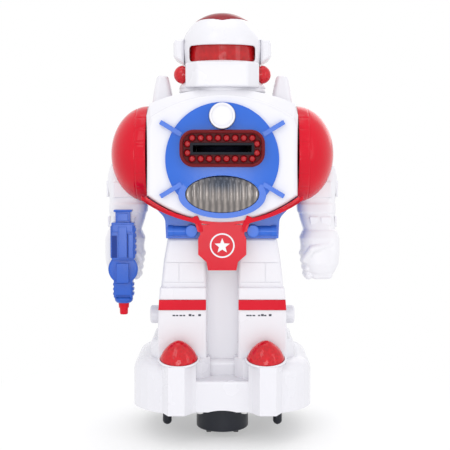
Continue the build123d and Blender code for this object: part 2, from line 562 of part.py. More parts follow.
# opening in the floor for the base plate
floor2d = make_face(Polyline(*[(-x, y) for x, y in []], (-60, -14), (-52, -33), (-44, -42), (-38, -53), (-31, -53), (-24, -44), (24, -44), (31, -53), (38, -53), (44, -42), (52, -33), (60, -14), (64, 0), (64, 38), (56, 50), (-56, 50), (-64, 38), (-64, 0), close=True))
floor_open = extrude(Plane.XY.offset(BASE_Z - 1) * floor2d, amount=4.0)
legs = legs_out - cav - floor_open
# arched relief under the toes and between the feet
legs = legs - cyl_y(-80, 80, 0, BASE_Z - 40.6, 42.0)
# battery opening in the back of the legs
DOOR = (-27.0, 27.0, 66.0, 130.0)
legs = legs + box(-31, 31, 26.0, 36.0, 62, 134)
legs = legs + box(-27, 27, 12, 34, 66, 130)
legs = legs - box(DOOR[0], DOOR[1], 33.6, 50, DOOR[2], DOOR[3]) - box(-23.8, 23.8, 14, 40, 69.4, 124.0)
# knob bores, toe lamp seats
for s in (-1, 1):
    legs = legs - cyl_x(s * 40, s * 52, -4.0, 92.6, 4.2)
lamp_c = (33.2, -43.0, 61.0 + (-43.0 - FOOT_Y) * tan(radians(SLOPE)))
LAMP_R = 13.4
for s in (-1, 1):
    seat = Pos(s * lamp_c[0], lamp_c[1], lamp_c[2]) * Rot(SLOPE, 0, 0) * Cylinder(LAMP_R - 1.4, 16)
    legs = legs - seat
# panel lines on the thighs
for s in (-1, 1):
    x0, x1 = sorted((s * 12.3, s * 45.0))
    legs = legs - box(s * 33.4 - 0.35, s * 33.4 + 0.35, -30, -28.4, 121.8, 137.0)
    legs = legs - box(x0, x1, -30, -28.4, 136.7, 137.3) - box(x0, x1, -30, -28.4, 121.5, 122.1)
# red band seats on the knees
for s in (-1, 1):
    x0, x1 = sorted((s * (LEG_IN - 1), s * 60))
    legs = legs - box(x0, x1, -40, -30.7, 100.2, 108.5)
legs_front = front_half(legs)
legs_back = back_half(legs)
SCREWS_L = [(-44, 70), (44, 70), (-30, 146), (30, 146)]
legs_front = max(legs_front.solids(), key=lambda k: k.volume)
legs_back = max(legs_back.solids(), key=lambda k: k.volume)
for x, z in SCREWS_L:
    boss = cyl_y(PART_Y, 34.0, x, z, 4.6) & legs_out
    legs_back = legs_back + boss - cyl_y(SCREW_SEAT, 60, x, z, 3.0) - cyl_y(-60, 60, x, z, 1.5)
    legs_front = legs_front + (cyl_y(-30.6, PART_Y, x, z, 3.4) & legs_out) - cyl_y(-6.0, 60, x, z, 1.3)
    screws.append(screw_y(x, SCREW_SEAT + 1.6, z, SCREW_L))
SCREWS_B = [(-56, 20, 60), (56, 20, 60), (-17, -42, 47), (17, -42, 47), (0, 48, 47)]
for x, y, top in SCREWS_B:
    boss = (cyl_z(BASE_Z + 2.3, top, x, y, 3.4) & legs_out) - cyl_z(0, BASE_Z + 15.5, x, y, 1.3)
    if y > 2:
        legs_back = legs_back + boss - cyl_z(0, BASE_Z + 15.5, x, y, 1.3)
    else:
        legs_front = legs_front + boss - cyl_z(0, BASE_Z + 15.5, x, y, 1.3)
    screws.append(screw_z(x, y, BASE_Z - 1.6, SCREW_L))
save("legs_front", legs_front)
save("legs_back", legs_back)
save("case_screws", screws)


def knee_band(s):
    b = elev([(-LEG_IN - 0.2, 100.4), (-LEG_IN - 0.2, 108.3), (-48.9, 108.3), (-49.5, 100.4)], -32.6, -30.8)
    b = soft(b, near_y(b, -32.6), 0.5)
    return b if s < 0 else mirror_x(b)


save("knee_bands", [knee_band(1), knee_band(-1)])


def toe_lamp(s):
    dome = scale(Sphere(1), by=(LAMP_R, LAMP_R, 12.6)) & (Pos(0, 0, 20) * Box(60, 60, 40))
    inner = scale(Sphere(1), by=(LAMP_R - 1.6, LAMP_R - 1.6, 10.9)) & (Pos(0, 0, 19) * Box(60, 60, 40))
    plug = Pos(0, 0, -1.4) * Cylinder(LAMP_R - 1.6, 2.8) - Pos(0, 0, -1.4) * Cylinder(LAMP_R - 3.0, 4)
    lamp = (dome + plug) - inner
    lamp = Pos(lamp_c[0], lamp_c[1], lamp_c[2]) * Rot(SLOPE, 0, 0) * Pos(0, 0, 0.05) * lamp
    lamp = lamp - legs_front
    lamp = max(lamp.solids(), key=lambda k: k.volume)
    return lamp if s > 0 else mirror_x(lamp)


tlamp = toe_lamp(1)
save("toe_lamps", [tlamp, mirror_x(tlamp)])


def knee_knob(s):
    k = cyl_x(50.4, 57.6, -4.0, 92.6, 7.2)
    k = fillet(k.edges().filter_by(lambda e: abs(e.center().X - 57.6) < 0.1), 2.0)
    k = k - legs_out
    k = k + cyl_x(45.5, 51.0, -4.0, 92.6, 4.0)
    k = k - (cyl_x(57.0, 60, -4, 92.6, 4.6) - cyl_x(56, 60, -4, 92.6, 3.9))
    return k if s > 0 else mirror_x(k)


kknob = knee_knob(1)
save("knee_knobs", [kknob, mirror_x(kknob)])

# =============================================================== BASE PLATE
bp = offset(floor2d, amount=-0.3, kind=Kind.INTERSECTION)
base_plate = extrude(Plane.XY.offset(BASE_Z) * bp, amount=2.2)
base_plate = base_plate - cyl_y(-80, 80, 0, BASE_Z - 40.6, 42.1)
base_plate = base_plate - cyl_z(10, 40, 0, TUR_Y, DRUM_R + 0.7)
# wheel wells and ears for the rear wheels
for s in (-1, 1):
    base_plate = base_plate - box(s * REAR_X - 4.2, s * REAR_X + 4.2, REAR_Y - 15.5, REAR_Y + 13.5, 10, 40)
    for x in (s * REAR_X - 6.4, s * REAR_X + 4.4):
        ear = box(x, x + 2.0, REAR_Y - 5, REAR_Y + 5, REAR_R - 0.1, BASE_Z + 2.2)
        ear = ear + cyl_x(x, x + 2.0, REAR_Y, REAR_R, 5.0)
        base_plate = base_plate + (ear - cyl_x(x - 1, x + 3, REAR_Y, REAR_R, 1.32))
# bearing seat round the turret
seat = cyl_z(BASE_Z + 1.5, BASE_Z + 6.8, 0, TUR_Y, 27.0) - cyl_z(BASE_Z, BASE_Z + 9, 0, TUR_Y, 24.8)
base_plate = base_plate + seat
for sx, sy in ((-SKID_X, SKID_Y), (SKID_X, SKID_Y)):
    base_plate = base_plate - cyl_z(10, 40, sx, sy, 2.05)
for x, y, top in SCREWS_B:
    base_plate = base_plate - cyl_z(10, 40, x, y, 1.5)
save("base_plate", base_plate)


def skid(s):
    k = cyl_z(SKID_Z0 + 3.6, BASE_Z, s * SKID_X, SKID_Y, 3.6)
    k = k + Pos(s * SKID_X, SKID_Y, SKID_Z0 + 3.6) * Sphere(3.6)
    k = k + cyl_z(BASE_Z - 0.5, BASE_Z + 6, s * SKID_X, SKID_Y, 2.0)
    return k


save("skids", [skid(1), skid(-1)])


def rear_wheel(s):
    w = cyl_x(s * REAR_X - 3.0, s * REAR_X + 3.0, REAR_Y, REAR_R, REAR_R)
    w = fillet(w.edges().filter_by(GeomType.CIRCLE), 1.2)
    w = w - (cyl_x(s * REAR_X - 4, s * REAR_X - 2.0, REAR_Y, REAR_R, 10.2) - cyl_x(s * REAR_X - 4, s * REAR_X - 1, REAR_Y, REAR_R, 3.2))
    w = w - (cyl_x(s * REAR_X + 2.0, s * REAR_X + 4, REAR_Y, REAR_R, 10.2) - cyl_x(s * REAR_X + 1, s * REAR_X + 4, REAR_Y, REAR_R, 3.2))
    return w - cyl_x(s * REAR_X - 5, s * REAR_X + 5, REAR_Y, REAR_R, 1.33)


save("rear_wheel_left", rear_wheel(1))
save("rear_wheel_right", rear_wheel(-1))
ax = None
for s in (-1, 1):
    pin = cyl_x(s * REAR_X - 6.4, s * REAR_X + 6.4, REAR_Y, REAR_R, 1.28)
    ax = pin if ax is None else ax + pin
save("rear_axle_pins", ax)

# =============================================================== TURRET
drum = cyl_z(DRUM_Z0, BASE_Z + 3.0, 0, TUR_Y, DRUM_R)
drum = fillet(near_z(drum, DRUM_Z0), 1.6)
drum = drum - cyl_z(DRUM_Z0 + 1.4, 60, 0, TUR_Y, DRUM_R - 1.8)
drum = drum + (cyl_z(BASE_Z + 2.8, BASE_Z + 4.4, 0, TUR_Y, 24.2) - cyl_z(BASE_Z, BASE_Z + 8, 0, TUR_Y, DRUM_R - 1.8))
# side plates that carry the axle, idler and motor shafts
ZA = WHEEL_R
ZI = ZA + MOD * (N_AXLE + N_IDLER) / 2
ZP = ZI + MOD * (N_IDLER + N_PINION) / 2
for x0, x1 in ((-3.2, -1.8), (3.2, 4.6)):
    side = box(x0, x1, TUR_Y - 8, TUR_Y + 8, DRUM_Z0 + 1.0, 42.0)
    side = side - cyl_x(x0 - 1, x1 + 1, TUR_Y, ZA, 1.04) - cyl_x(x0 - 1, x1 + 1, TUR_Y, ZI, 1.04)
    side = side - cyl_x(x0 - 1, x1 + 1, TUR_Y, ZP, 2.6 if x0 > 0 else 1.3)
    drum = drum + side
drum = drum + (box(-3.2, 4.6, TUR_Y - 8, TUR_Y - 6.6, DRUM_Z0 + 1.0, 42.0)) + (box(-3.2, 4.6, TUR_Y + 6.6, TUR_Y + 8, DRUM_Z0 + 1.0, 42.0))
drum = drum + box(-3.2, 4.6, TUR_Y - 17.6, TUR_Y - 6.6, DRUM_Z0 + 1.0, 9.0) + box(-3.2, 4.6, TUR_Y + 6.6, TUR_Y + 17.6, DRUM_Z0 + 1.0, 9.0)
for s in (-1, 1):
    drum = drum - box(s * 10.7 - 2.6, s * 10.7 + 2.6, TUR_Y - 12.2, TUR_Y + 12.2, 0, DRUM_Z0 + 3)
save("turret_drum", drum)

ring = cyl_z(BASE_Z + 4.7, BASE_Z + 6.6, 0, TUR_Y, 24.6) - cyl_z(BASE_Z, BASE_Z + 9, 0, TUR_Y, 19.8)
save("turret_ring", ring)


def drive_wheel(s):
    w = cyl_x(s * 8.7, s * 12.7, TUR_Y, ZA, WHEEL_R)
    w = fillet(w.edges().filter_by(GeomType.CIRCLE), 0.7)
    w = w - (cyl_x(s * 12.0, s * 14, TUR_Y, ZA, 8.8) - cyl_x(s * 11, s * 14, TUR_Y, ZA, 2.6))
    hub = cyl_x(s * 5.0, s * 8.8, TUR_Y, ZA, 2.4)
    return (w + hub) - cyl_x(s * 4, s * 14, TUR_Y, ZA, 1.0)


save("drive_wheels", [drive_wheel(1), drive_wheel(-1)])
save("drive_axle", cyl_x(-13.4, 13.4, TUR_Y, ZA, 1.0))
# gear phases: axle gear tooth up, idler gap down, pinion set to suit the idler
g_axle = Pos(-1.5, TUR_Y, ZA) * gear(N_AXLE, 4.2, 1.0)
save("axle_gear", g_axle)
ph_i = 180.0 / N_IDLER if N_IDLER % 2 == 0 else 0.0
g_idler = Pos(-1.5, TUR_Y, ZI) * Rot(ph_i, 0, 0) * gear(N_IDLER, 4.2, 0.5)
g_idler = g_idler + cyl_x(-3.1, 4.5, TUR_Y, ZI, 0.98) + cyl_x(2.6, 3.0, TUR_Y, ZI, 1.6)
save("idler_gear", g_idler)
# idler tooth direction up: gap is up when the even-toothed idler is shifted half a pitch, so the pinion has a tooth down
ph_p = 180.0 / N_PINION if N_PINION % 2 == 1 else 0.0
g_pin = Pos(-1.5, TUR_Y, ZP) * Rot(ph_p, 0, 0) * gear(N_PINION, 4.2, 0.2)
g_pin = g_pin + cyl_x(-3.0, 4.7, TUR_Y, ZP, 0.75)
save("motor_pinion", g_pin)
mot = cyl_x(4.9, 17.4, TUR_Y, ZP, 6.0) & box(4.9, 17.4, TUR_Y - 5, TUR_Y + 5, 0, 60)
mot = mot + cyl_x(17.2, 18.2, TUR_Y, ZP, 2.2) - cyl_x(4.0, 5.4, TUR_Y, ZP, 1.2)
mot = mot + (cyl_x(4.7, 5.0, TUR_Y, ZP, 2.4) - cyl_x(4.0, 5.4, TUR_Y, ZP, 1.2))
save("drive_motor", mot)

# ============================================================== BATTERIES
cells = None
for k in (-1, 0, 1):
    c = cyl_z(73.0, 121.5, k * 15.6, 24.0, 7.1) + cyl_z(121.4, 123.0, k * 15.6, 24.0, 2.7)
    cells = c if cells is None else cells + c
save("battery_cells", cells)
cont = None
for k in (-1, 0, 1):
    c = box(k * 15.6 - 5, k * 15.6 + 5, 19.5, 28.5, 123.4, 124.0) + box(k * 15.6 - 5, k * 15.6 + 5, 19.5, 28.5, 69.4, 70.0)
    c = c + cyl_z(70.0, 72.6, k * 15.6, 24.0, 3.0)
    cont = c if cont is None else cont + c
save("battery_contacts", cont)
door = box(DOOR[0] + 0.3, DOOR[1] - 0.3, 33.7, 36.0, DOOR[2] + 0.3, DOOR[3] - 0.3)
door = soft(door, near_y(door, 36.0), 0.8)
door = door - cyl_y(30, 40, 0, 126.0, 1.6)
for k in range(5):
    door = door - box(-10, 10, 35.4, 40, 72 + 2.4 * k, 73.2 + 2.4 * k)
save("battery_door", door)

# ================================================================== ARMS
# sections down the arm: z, x0, x1, yc, half depth, corner radius
ARM = [(216.0, 64.0, 88.0, 6.0, 13.5, 6.5), (212.0, 62.0, 89.5, 7.0, 14.5, 7.0), (205.0, 60.2, 92.0, 8.0, 15.5, 7.5),
       (196.0, 59.4, 91.0, 8.2, 15.5, 7.5), (182.0, 59.2, 89.4, 6.6, 15.0, 7.0), (174.0, 60.0, 89.6, 4.4, 14.2, 6.5),
       (165.0, 62.6, 90.0, 1.2, 13.0, 6.0), (158.0, 64.4, 91.0, -1.6, 12.6, 6.0)]


def arm_sections(d=0.0):
    out = []
    for z, x0, x1, yc, hy, r in ARM:
        out.append(Plane.XY.offset(z) * Pos((x0 + x1) / 2, yc) * RectangleRounded(x1 - x0 - 2 * d, 2 * (hy - d), max(r - d, 1.0)))
    return out


def arm_solid(d=0.0):
    return loft(arm_sections(d))


def fist_solid(d=0.0):
    f = box(60.2 + d, 93.4 - d, -20.5 + d, 12.5 - d, 124.5 + d, 158.6 - (d if d else 0))
    f = fillet(f.edges(), max(7.0 - d, 2.0))
    if d == 0:
        knuckle = box(64.0, 91.0, -21.5, -6.0, 121.5, 140.0)
        knuckle = fillet(knuckle.edges(), 4.5)
        f = f + knuckle
        thumb = box(59.0, 68.0, -19.0, -4.0, 131.0, 151.0)
        thumb = fillet(thumb.edges(), 3.6)
        f = f + thumb
    return f


arm_out = arm_solid(0) + fist_solid(0)
arm_in = arm_solid(WALL) + fist_solid(WALL + 0.6)
GRIP_Z, GRIP_R = 140.0, 4.0
PART_X = 76.2


def cap_shell():
    def bowl(rx, rr):
        q = [(rx * sin(radians(t)), -rr * cos(radians(t))) for t in (0, 15, 30, 52, 74)]
        e = (rx, -2.0)
        prof = make_face([ThreePointArc(q[0], q[1], q[2]), ThreePointArc(q[2], q[3], q[4]), Line(q[4], (rx - 0.35, -6.0)),
                          Line((rx - 0.35, -6.0), (rx, -2.0)), Line(e, (rx, 0)), Line((rx, 0), (0, 0)), Line((0, 0), q[0])])
        return Pos(CAP_X0, 0, SHOULDER_Z) * revolve(prof, axis=Axis.X, revolution_arc=360)

    outer = bowl(CAP_RX, CAP_RZ)
    shell = outer - bowl(CAP_RX - WALL, CAP_RZ - WALL)
    disc = cyl_x(CAP_X0, CAP_X0 + 1.8, 0, SHOULDER_Z, 37.0) & outer
    # spindle with a collar that the torso shells trap
    spin = cyl_x(52.0, CAP_X0 + 1.0, 0, SHOULDER_Z, 8.07) + cyl_x(52.6, 55.0, 0, SHOULDER_Z, 10.2)
    return shell + disc + spin - cyl_x(45, CAP_X0 + 6, 0, SHOULDER_Z, 3.0)


cap_full = cap_shell()
cap_cut = cap_full - box(58.2, 110, -9.4, 24.8, 150, 218.4)
cap_cut = max(cap_cut.solids(), key=lambda k: k.volume)
arm_shell = arm_out - arm_in
arm_shell_l = arm_shell
# right fist holds the blaster grip in a bore
tube = cyl_y(-30, 30, PART_X, GRIP_Z, GRIP_R + 2.0) & arm_out
arm_shell_r = (arm_shell + tube) - cyl_y(-40, 40, PART_X, GRIP_Z, GRIP_R)
for name, src in (("left", arm_shell_l), ("right", arm_shell_r)):
    m = (lambda k: k) if name == "left" else mirror_x
    inner_half = src & box(0, PART_X, -60, 60, 100, 260)
    outer_half = src & box(PART_X, 200, -60, 60, 100, 260)
    save(f"arm_inner_{name}", m(inner_half))
    save(f"arm_outer_{name}", m(outer_half))
    save(f"shoulder_cap_{name}", m(cap_cut))

# ================================================================ BLASTER
def gun():
    x, y = -GUN_X, GUN_Y
    parts = [
        box(x - 8.0, x + 8.0, y - 8.5, y + 6.5, 148.0, 168.6),            # receiver upper
        box(x - 9.8, x + 9.8, y - 6.5, y + 5.5, 139.0, 166.0),            # receiver
        box(x - 5.8, x + 5.8, y - 5.5, y + 4.5, 166.0, 177.4),            # stock neck
        box(x - 7.2, x + 7.2, y - 6.5, y + 5.5, 176.6, 178.4),            # butt plate
        box(x - 7.4, x + 7.4, y - 7.0, y + 5.5, 112.0, 140.0),            # fore end
    ]
    g = None
    for p in parts:
        p = fillet(p.edges(), 0.8)
        g = p if g is None else g + p
    for s in (-1, 1):
        g = g + cyl_y(y - 5.0, y + 4.0, x + s * 6.2, 131.4, 5.2)           # round side drums
    g = g + cyl_z(110, 142, x, y - 4.0, 4.2)
    g = g + Pos(x, y - 0.5, 109.4) * Cone(5.6, 7.4, 6.0)
    g = g + box(x - 1.4, x + 1.4, y - 10.2, y - 6.0, 142, 165)             # top rail
    for z in (158, 152, 146, 120, 115):
        g = g + box(x + 6.4, x + 10.2 - (2.4 if z < 140 else 0), y - 3.5, y + 2.5, z - 1.6, z + 1.6)
    g = g + cyl_y(y + 5.0, 13.4, x, GRIP_Z, GRIP_R - 0.08)                 # grip peg through the fist
    g = g + box(x - 5, x + 5, y + 4.0, -22.2, GRIP_Z - 6, GRIP_Z + 6)
    g = g - cyl_z(90, 112, x, y - 0.5, 3.1)
    return g


g = mirror_x(gun())
save("blaster_half_outer", g & box(-200, GUN_X, -100, 100, 50, 250))
save("blaster_half_inner", g & box(GUN_X, 0, -100, 100, 50, 250))
tip = Pos(GUN_X, GUN_Y - 0.5, 101.7) * Cone(3.3, 4.3, 9.2) + cyl_z(106.2, 111.5, GUN_X, GUN_Y - 0.5, 3.0)
tip = tip - cyl_z(90, 103, GUN_X, GUN_Y - 0.5, 1.8)
save("blaster_tip", tip - g)

# ============================================================= LAUNCHER
mag = cyl_z(199.0, 230.6, 0, MAG_Y, 22.4) - cyl_z(200.6, 240, 0, MAG_Y, 20.6)
mag = mag - box(-21, 21, -30, MAG_Y, SLOT_Z - SLOT_H / 2, 240) - box(14, 30, -14, 2, SLOT_Z - SLOT_H / 2, 240)
mag = mag + (cyl_z(200, 201, 0, MAG_Y, 20.7))
mag = mag & box(-60, 60, -21.6, 60, 0, 400)
save("disc_magazine", mag)
discs = []
for k in range(4):
    z = SLOT_Z - DISC_T / 2 - k * (DISC_T + 0.2)
    discs.append(cyl_z(z, z + DISC_T, 0, MAG_Y, DISC_R) - cyl_z(190, 240, 0, MAG_Y, 4))
save("foam_discs", discs)
fw_x, fw_y = 26.9, -6.0
fly = cyl_z(SLOT_Z - 2.0, SLOT_Z + 2.0, fw_x, fw_y, 7.6)
fly = fly - (cyl_z(SLOT_Z + 0.8, 240, fw_x, fw_y, 5.8) - cyl_z(200, 240, fw_x, fw_y, 2.4))
fly = fly + cyl_z(SLOT_Z, SLOT_Z + 7.6, fw_x, fw_y, 0.9)
save("flywheel", fly)
lm = cyl_z(231.2, 251.0, fw_x, fw_y, 7.2) & box(fw_x - 7.2, fw_x + 7.2, fw_y - 5.8, fw_y + 5.8, 190, 260)
lm = lm + cyl_z(229.6, 231.3, fw_x, fw_y, 2.4) - cyl_z(220, 234.0, fw_x, fw_y, 0.96)
save("launch_motor", lm)
save("main_board", box(-34, 34, 27.6, 29.2, 206, 222))
spk = cyl_y(30.0, 35.4, 0, 232, 13.4) - (Pos(0, 35.4, 232) * scale(Sphere(1), by=(11, 3.2, 11)))
save("speaker", spk)
sw = box(-2.6, 2.6, 36.2, 39.6, 199.0, 203.0)
sw = fillet(sw.edges().filter_by(lambda e: e.center().Y > 39.5), 0.5) + box(-8, 8, 34.4, 35.7, 197.6, 204.4) + box(-2.4, 2.4, 35.6, 36.4, 199.2, 202.8)
save("power_switch", sw)

print("nodes", len(made))
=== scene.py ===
import json
import bpy, bmesh
from math import sin, cos, pi, radians, sqrt, atan2
from mathutils import Vector, Matrix

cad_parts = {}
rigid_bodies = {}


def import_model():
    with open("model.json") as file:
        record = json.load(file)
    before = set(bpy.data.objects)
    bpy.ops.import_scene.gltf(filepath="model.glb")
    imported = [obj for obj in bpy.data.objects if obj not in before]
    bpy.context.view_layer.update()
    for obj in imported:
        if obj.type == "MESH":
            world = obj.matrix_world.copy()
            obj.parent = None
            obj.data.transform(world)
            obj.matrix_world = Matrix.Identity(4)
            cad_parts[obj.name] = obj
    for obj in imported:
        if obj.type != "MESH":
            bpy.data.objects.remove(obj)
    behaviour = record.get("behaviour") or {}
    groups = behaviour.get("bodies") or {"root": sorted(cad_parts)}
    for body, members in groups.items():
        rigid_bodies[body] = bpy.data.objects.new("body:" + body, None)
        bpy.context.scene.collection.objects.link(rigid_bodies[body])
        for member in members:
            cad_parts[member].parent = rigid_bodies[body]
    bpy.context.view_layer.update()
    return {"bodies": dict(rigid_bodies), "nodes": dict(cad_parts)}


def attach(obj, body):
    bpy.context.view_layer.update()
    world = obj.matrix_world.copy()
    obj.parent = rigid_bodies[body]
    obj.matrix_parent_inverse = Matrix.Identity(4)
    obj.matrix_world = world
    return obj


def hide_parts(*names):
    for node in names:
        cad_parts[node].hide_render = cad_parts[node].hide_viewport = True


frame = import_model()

MM = 0.001
nodes = frame["nodes"]
bodies = frame["bodies"]
root = "body"
scene = bpy.context.scene

# ------------------------------------------------------------ camera and light
cam_d = bpy.data.cameras.new("camera")
cam_d.lens = 78.0
cam_d.sensor_width = 36
cam = bpy.data.objects.new("camera", cam_d)
scene.collection.objects.link(cam)
cam.location = (0.0021, -0.78, 0.224)
cam_d.shift_y = -0.04
aim = Vector((0.0021, 0.0, 0.1784)) - cam.location
cam.rotation_euler = aim.to_track_quat("-Z", "Y").to_euler()
scene.camera = cam
scene.view_settings.view_transform = "Standard"
scene.view_settings.look = "None"

world = bpy.data.worlds.new("studio")
scene.world = world
world.use_nodes = True
world.node_tree.nodes["Background"].inputs[0].default_value = (1, 1, 1, 1)
world.node_tree.nodes["Background"].inputs[1].default_value = 1.0


def area(name, loc, target, size, size_y, power):
    d = bpy.data.lights.new(name, "AREA")
    d.shape = "RECTANGLE"
    d.size, d.size_y, d.energy = size, size_y, power
    o = bpy.data.objects.new(name, d)
    scene.collection.objects.link(o)
    o.location = loc
    o.rotation_euler = (Vector(target) - Vector(loc)).to_track_quat("-Z", "Y").to_euler()
    return o


area("key", (-0.55, -0.95, 1.05), (0, 0, 0.17), 0.5, 0.7, 1.6)
area("fill", (0.95, -0.75, 0.5), (0, 0, 0.16), 0.35, 0.9, 1.1)
area("front", (0.0, -1.25, 0.16), (0, 0, 0.1), 0.5, 0.5, 2.3)
area("top", (0, 0.1, 1.3), (0, 0, 0.1), 0.9, 0.7, 1.6)
area("back", (0.5, 0.95, 0.7), (0, 0, 0.16), 0.8, 0.8, 1.5)


# ------------------------------------------------------------------ materials
def new_mat(name):
    m = bpy.data.materials.new(name)
    m.use_nodes = True
    nt = m.node_tree
    return m, nt, nt.nodes["Principled BSDF"]


def moulded(name, rgb, rough=0.24, spread=0.05, bump=0.05, scale=700.0, coat=0.0, sss=0.0, tint=0.02, metal=0.0, spec=0.5):
    """Injection-moulded plastic: faint flow marks in the colour, uneven gloss, and a very fine orange-peel skin."""
    m, nt, p = new_mat(name)
    n, l = nt.nodes, nt.links
    tc = n.new("ShaderNodeTexCoord")
    big = n.new("ShaderNodeTexNoise")
    big.inputs["Scale"].default_value = 34.0
    big.inputs["Detail"].default_value = 3.0
    fine = n.new("ShaderNodeTexNoise")
    fine.inputs["Scale"].default_value = scale
    fine.inputs["Detail"].default_value = 2.0
    l.new(tc.outputs["Object"], big.inputs["Vector"])
    l.new(tc.outputs["Object"], fine.inputs["Vector"])
    ramp = n.new("ShaderNodeValToRGB")
    ramp.color_ramp.elements[0].position, ramp.color_ramp.elements[1].position = 0.3, 0.75
    d = tuple(max(0.0, c * (1 - tint * 1.6)) for c in rgb)
    b = tuple(min(1.0, c * (1 + tint)) for c in rgb)
    ramp.color_ramp.elements[0].color = (*d, 1)
    ramp.color_ramp.elements[1].color = (*b, 1)
    l.new(big.outputs["Fac"], ramp.inputs["Fac"])
    l.new(ramp.outputs["Color"], p.inputs["Base Color"])
    mr = n.new("ShaderNodeMapRange")
    mr.inputs["To Min"].default_value = max(0.02, rough - spread)
    mr.inputs["To Max"].default_value = rough + spread
    l.new(big.outputs["Fac"], mr.inputs["Value"])
    l.new(mr.outputs["Result"], p.inputs["Roughness"])
    bp = n.new("ShaderNodeBump")
    bp.inputs["Strength"].default_value = bump
    bp.inputs["Distance"].default_value = 0.0002
    l.new(fine.outputs["Fac"], bp.inputs["Height"])
    l.new(bp.outputs["Normal"], p.inputs["Normal"])
    p.inputs["Metallic"].default_value = metal
    p.inputs["IOR"].default_value = 1.5
    p.inputs["Specular IOR Level"].default_value = spec
    if coat:
        p.inputs["Coat Weight"].default_value = coat
        p.inputs["Coat Roughness"].default_value = 0.06
    if sss:
        p.inputs["Subsurface Weight"].default_value = sss
        p.inputs["Subsurface Radius"].default_value = (0.004, 0.003, 0.003)
        p.inputs["Subsurface Scale"].default_value = 0.4
    return m


def clear(name, rgb, rough=0.08, trans=0.85, facet=900.0, bump=0.25, emit=0.0):
    """Tinted clear plastic with a prismatic moulded back."""
    m, nt, p = new_mat(name)
    n, l = nt.nodes, nt.links
    tc = n.new("ShaderNodeTexCoord")
    vor = n.new("ShaderNodeTexVoronoi")
    vor.inputs["Scale"].default_value = facet
    l.new(tc.outputs["Object"], vor.inputs["Vector"])
    bp = n.new("ShaderNodeBump")
    bp.inputs["Strength"].default_value = bump
    bp.inputs["Distance"].default_value = 0.0003
    l.new(vor.outputs["Distance"], bp.inputs["Height"])
    l.new(bp.outputs["Normal"], p.inputs["Normal"])
    ramp = n.new("ShaderNodeValToRGB")
    ramp.color_ramp.elements[0].color = (*[c * 0.8 for c in rgb], 1)
    ramp.color_ramp.elements[1].color = (*[min(1, c * 1.15) for c in rgb], 1)
    l.new(vor.outputs["Distance"], ramp.inputs["Fac"])
    l.new(ramp.outputs["Color"], p.inputs["Base Color"])
    p.inputs["Roughness"].default_value = rough
    p.inputs["Transmission Weight"].default_value = trans
    p.inputs["IOR"].default_value = 1.49
    if emit:
        p.inputs["Emission Color"].default_value = (*rgb, 1)
        p.inputs["Emission Strength"].default_value = emit
    return m


WHITE = moulded("white_plastic", (0.76, 0.755, 0.80), rough=0.26, tint=0.006)
WHITE2 = moulded("white_plastic_limbs", (0.78, 0.775, 0.815), rough=0.3, tint=0.006, bump=0.08)
RED = moulded("red_plastic", (0.63, 0.003, 0.019), rough=0.16, spread=0.03, tint=0.04, spec=0.24)
BLUE = moulded("blue_plastic", (0.020, 0.130, 0.62), rough=0.2, tint=0.04, spec=0.45)
GUNBLUE = moulded("blaster_blue", (0.012, 0.092, 0.50), rough=0.15, tint=0.05, spec=0.5)
# darker copy of the blaster blue, used only for painted shade
GUN_PAINTED_SHADE = moulded("blaster_blue_painted_shade", (0.006, 0.034, 0.24), rough=0.3, tint=0.05, spec=0.2)
CROWN = moulded("crown_dark_red", (0.27, 0.003, 0.012), rough=0.12, tint=0.06, spec=0.15)
NAVY = moulded("black_plastic", (0.010, 0.012, 0.020), rough=0.34, bump=0.12, tint=0.08, spec=0.35)
NAVY_SHINY = moulded("black_gloss", (0.005, 0.006, 0.012), rough=0.3, tint=0.05, spec=0.12)
GREY = moulded("grey_plastic", (0.30, 0.30, 0.33), rough=0.4)
RUBBER = moulded("black_rubber", (0.02, 0.02, 0.02), rough=0.75, bump=0.4, scale=1400)
STEEL = moulded("plated_steel", (0.62, 0.62, 0.62), rough=0.28, metal=1.0, bump=0.1, scale=2200)
BRASS = moulded("brass", (0.78, 0.58, 0.25), rough=0.3, metal=1.0)
MIRROR = moulded("metallised", (0.72, 0.70, 0.69), rough=0.13, metal=1.0, bump=0.03)
PCB = moulded("board_green", (0.02, 0.16, 0.06), rough=0.35, tint=0.15, scale=300)
FOAM = moulded("foam", (0.012, 0.016, 0.045), rough=0.9, bump=0.8, scale=2500)
INK = moulded("printed_ink", (0.03, 0.03, 0.05), rough=0.4)
REDCLEAR = clear("red_clear", (0.66, 0.004, 0.014), trans=0.25, facet=420, bump=0.35, emit=0.06)
VISOR = clear("visor_clear", (0.58, 0.008, 0.012), rough=0.1, trans=0.25, facet=260, bump=0.10, emit=0.05)
BEZEL = moulded("bezel_red", (0.15, 0.002, 0.005), rough=0.09, spread=0.02, tint=0.10, bump=0.02, spec=0.22)
# darker, duller copy of the bezel red: painted shade on the recessed face and lamp sockets
BEZEL_SHADED = moulded("bezel_red_painted_shade", (0.085, 0.0012, 0.003), rough=0.20, spread=0.03, tint=0.12, bump=0.03, spec=0.08)
LENSRED = clear("lens_red", (0.42, 0.003, 0.008), rough=0.05, trans=0.15, facet=1400, bump=0.12, emit=0.05)
CLEAR = clear("belly_clear", (0.93, 0.93, 0.95), rough=0.05, trans=0.95, facet=500, bump=0.05)


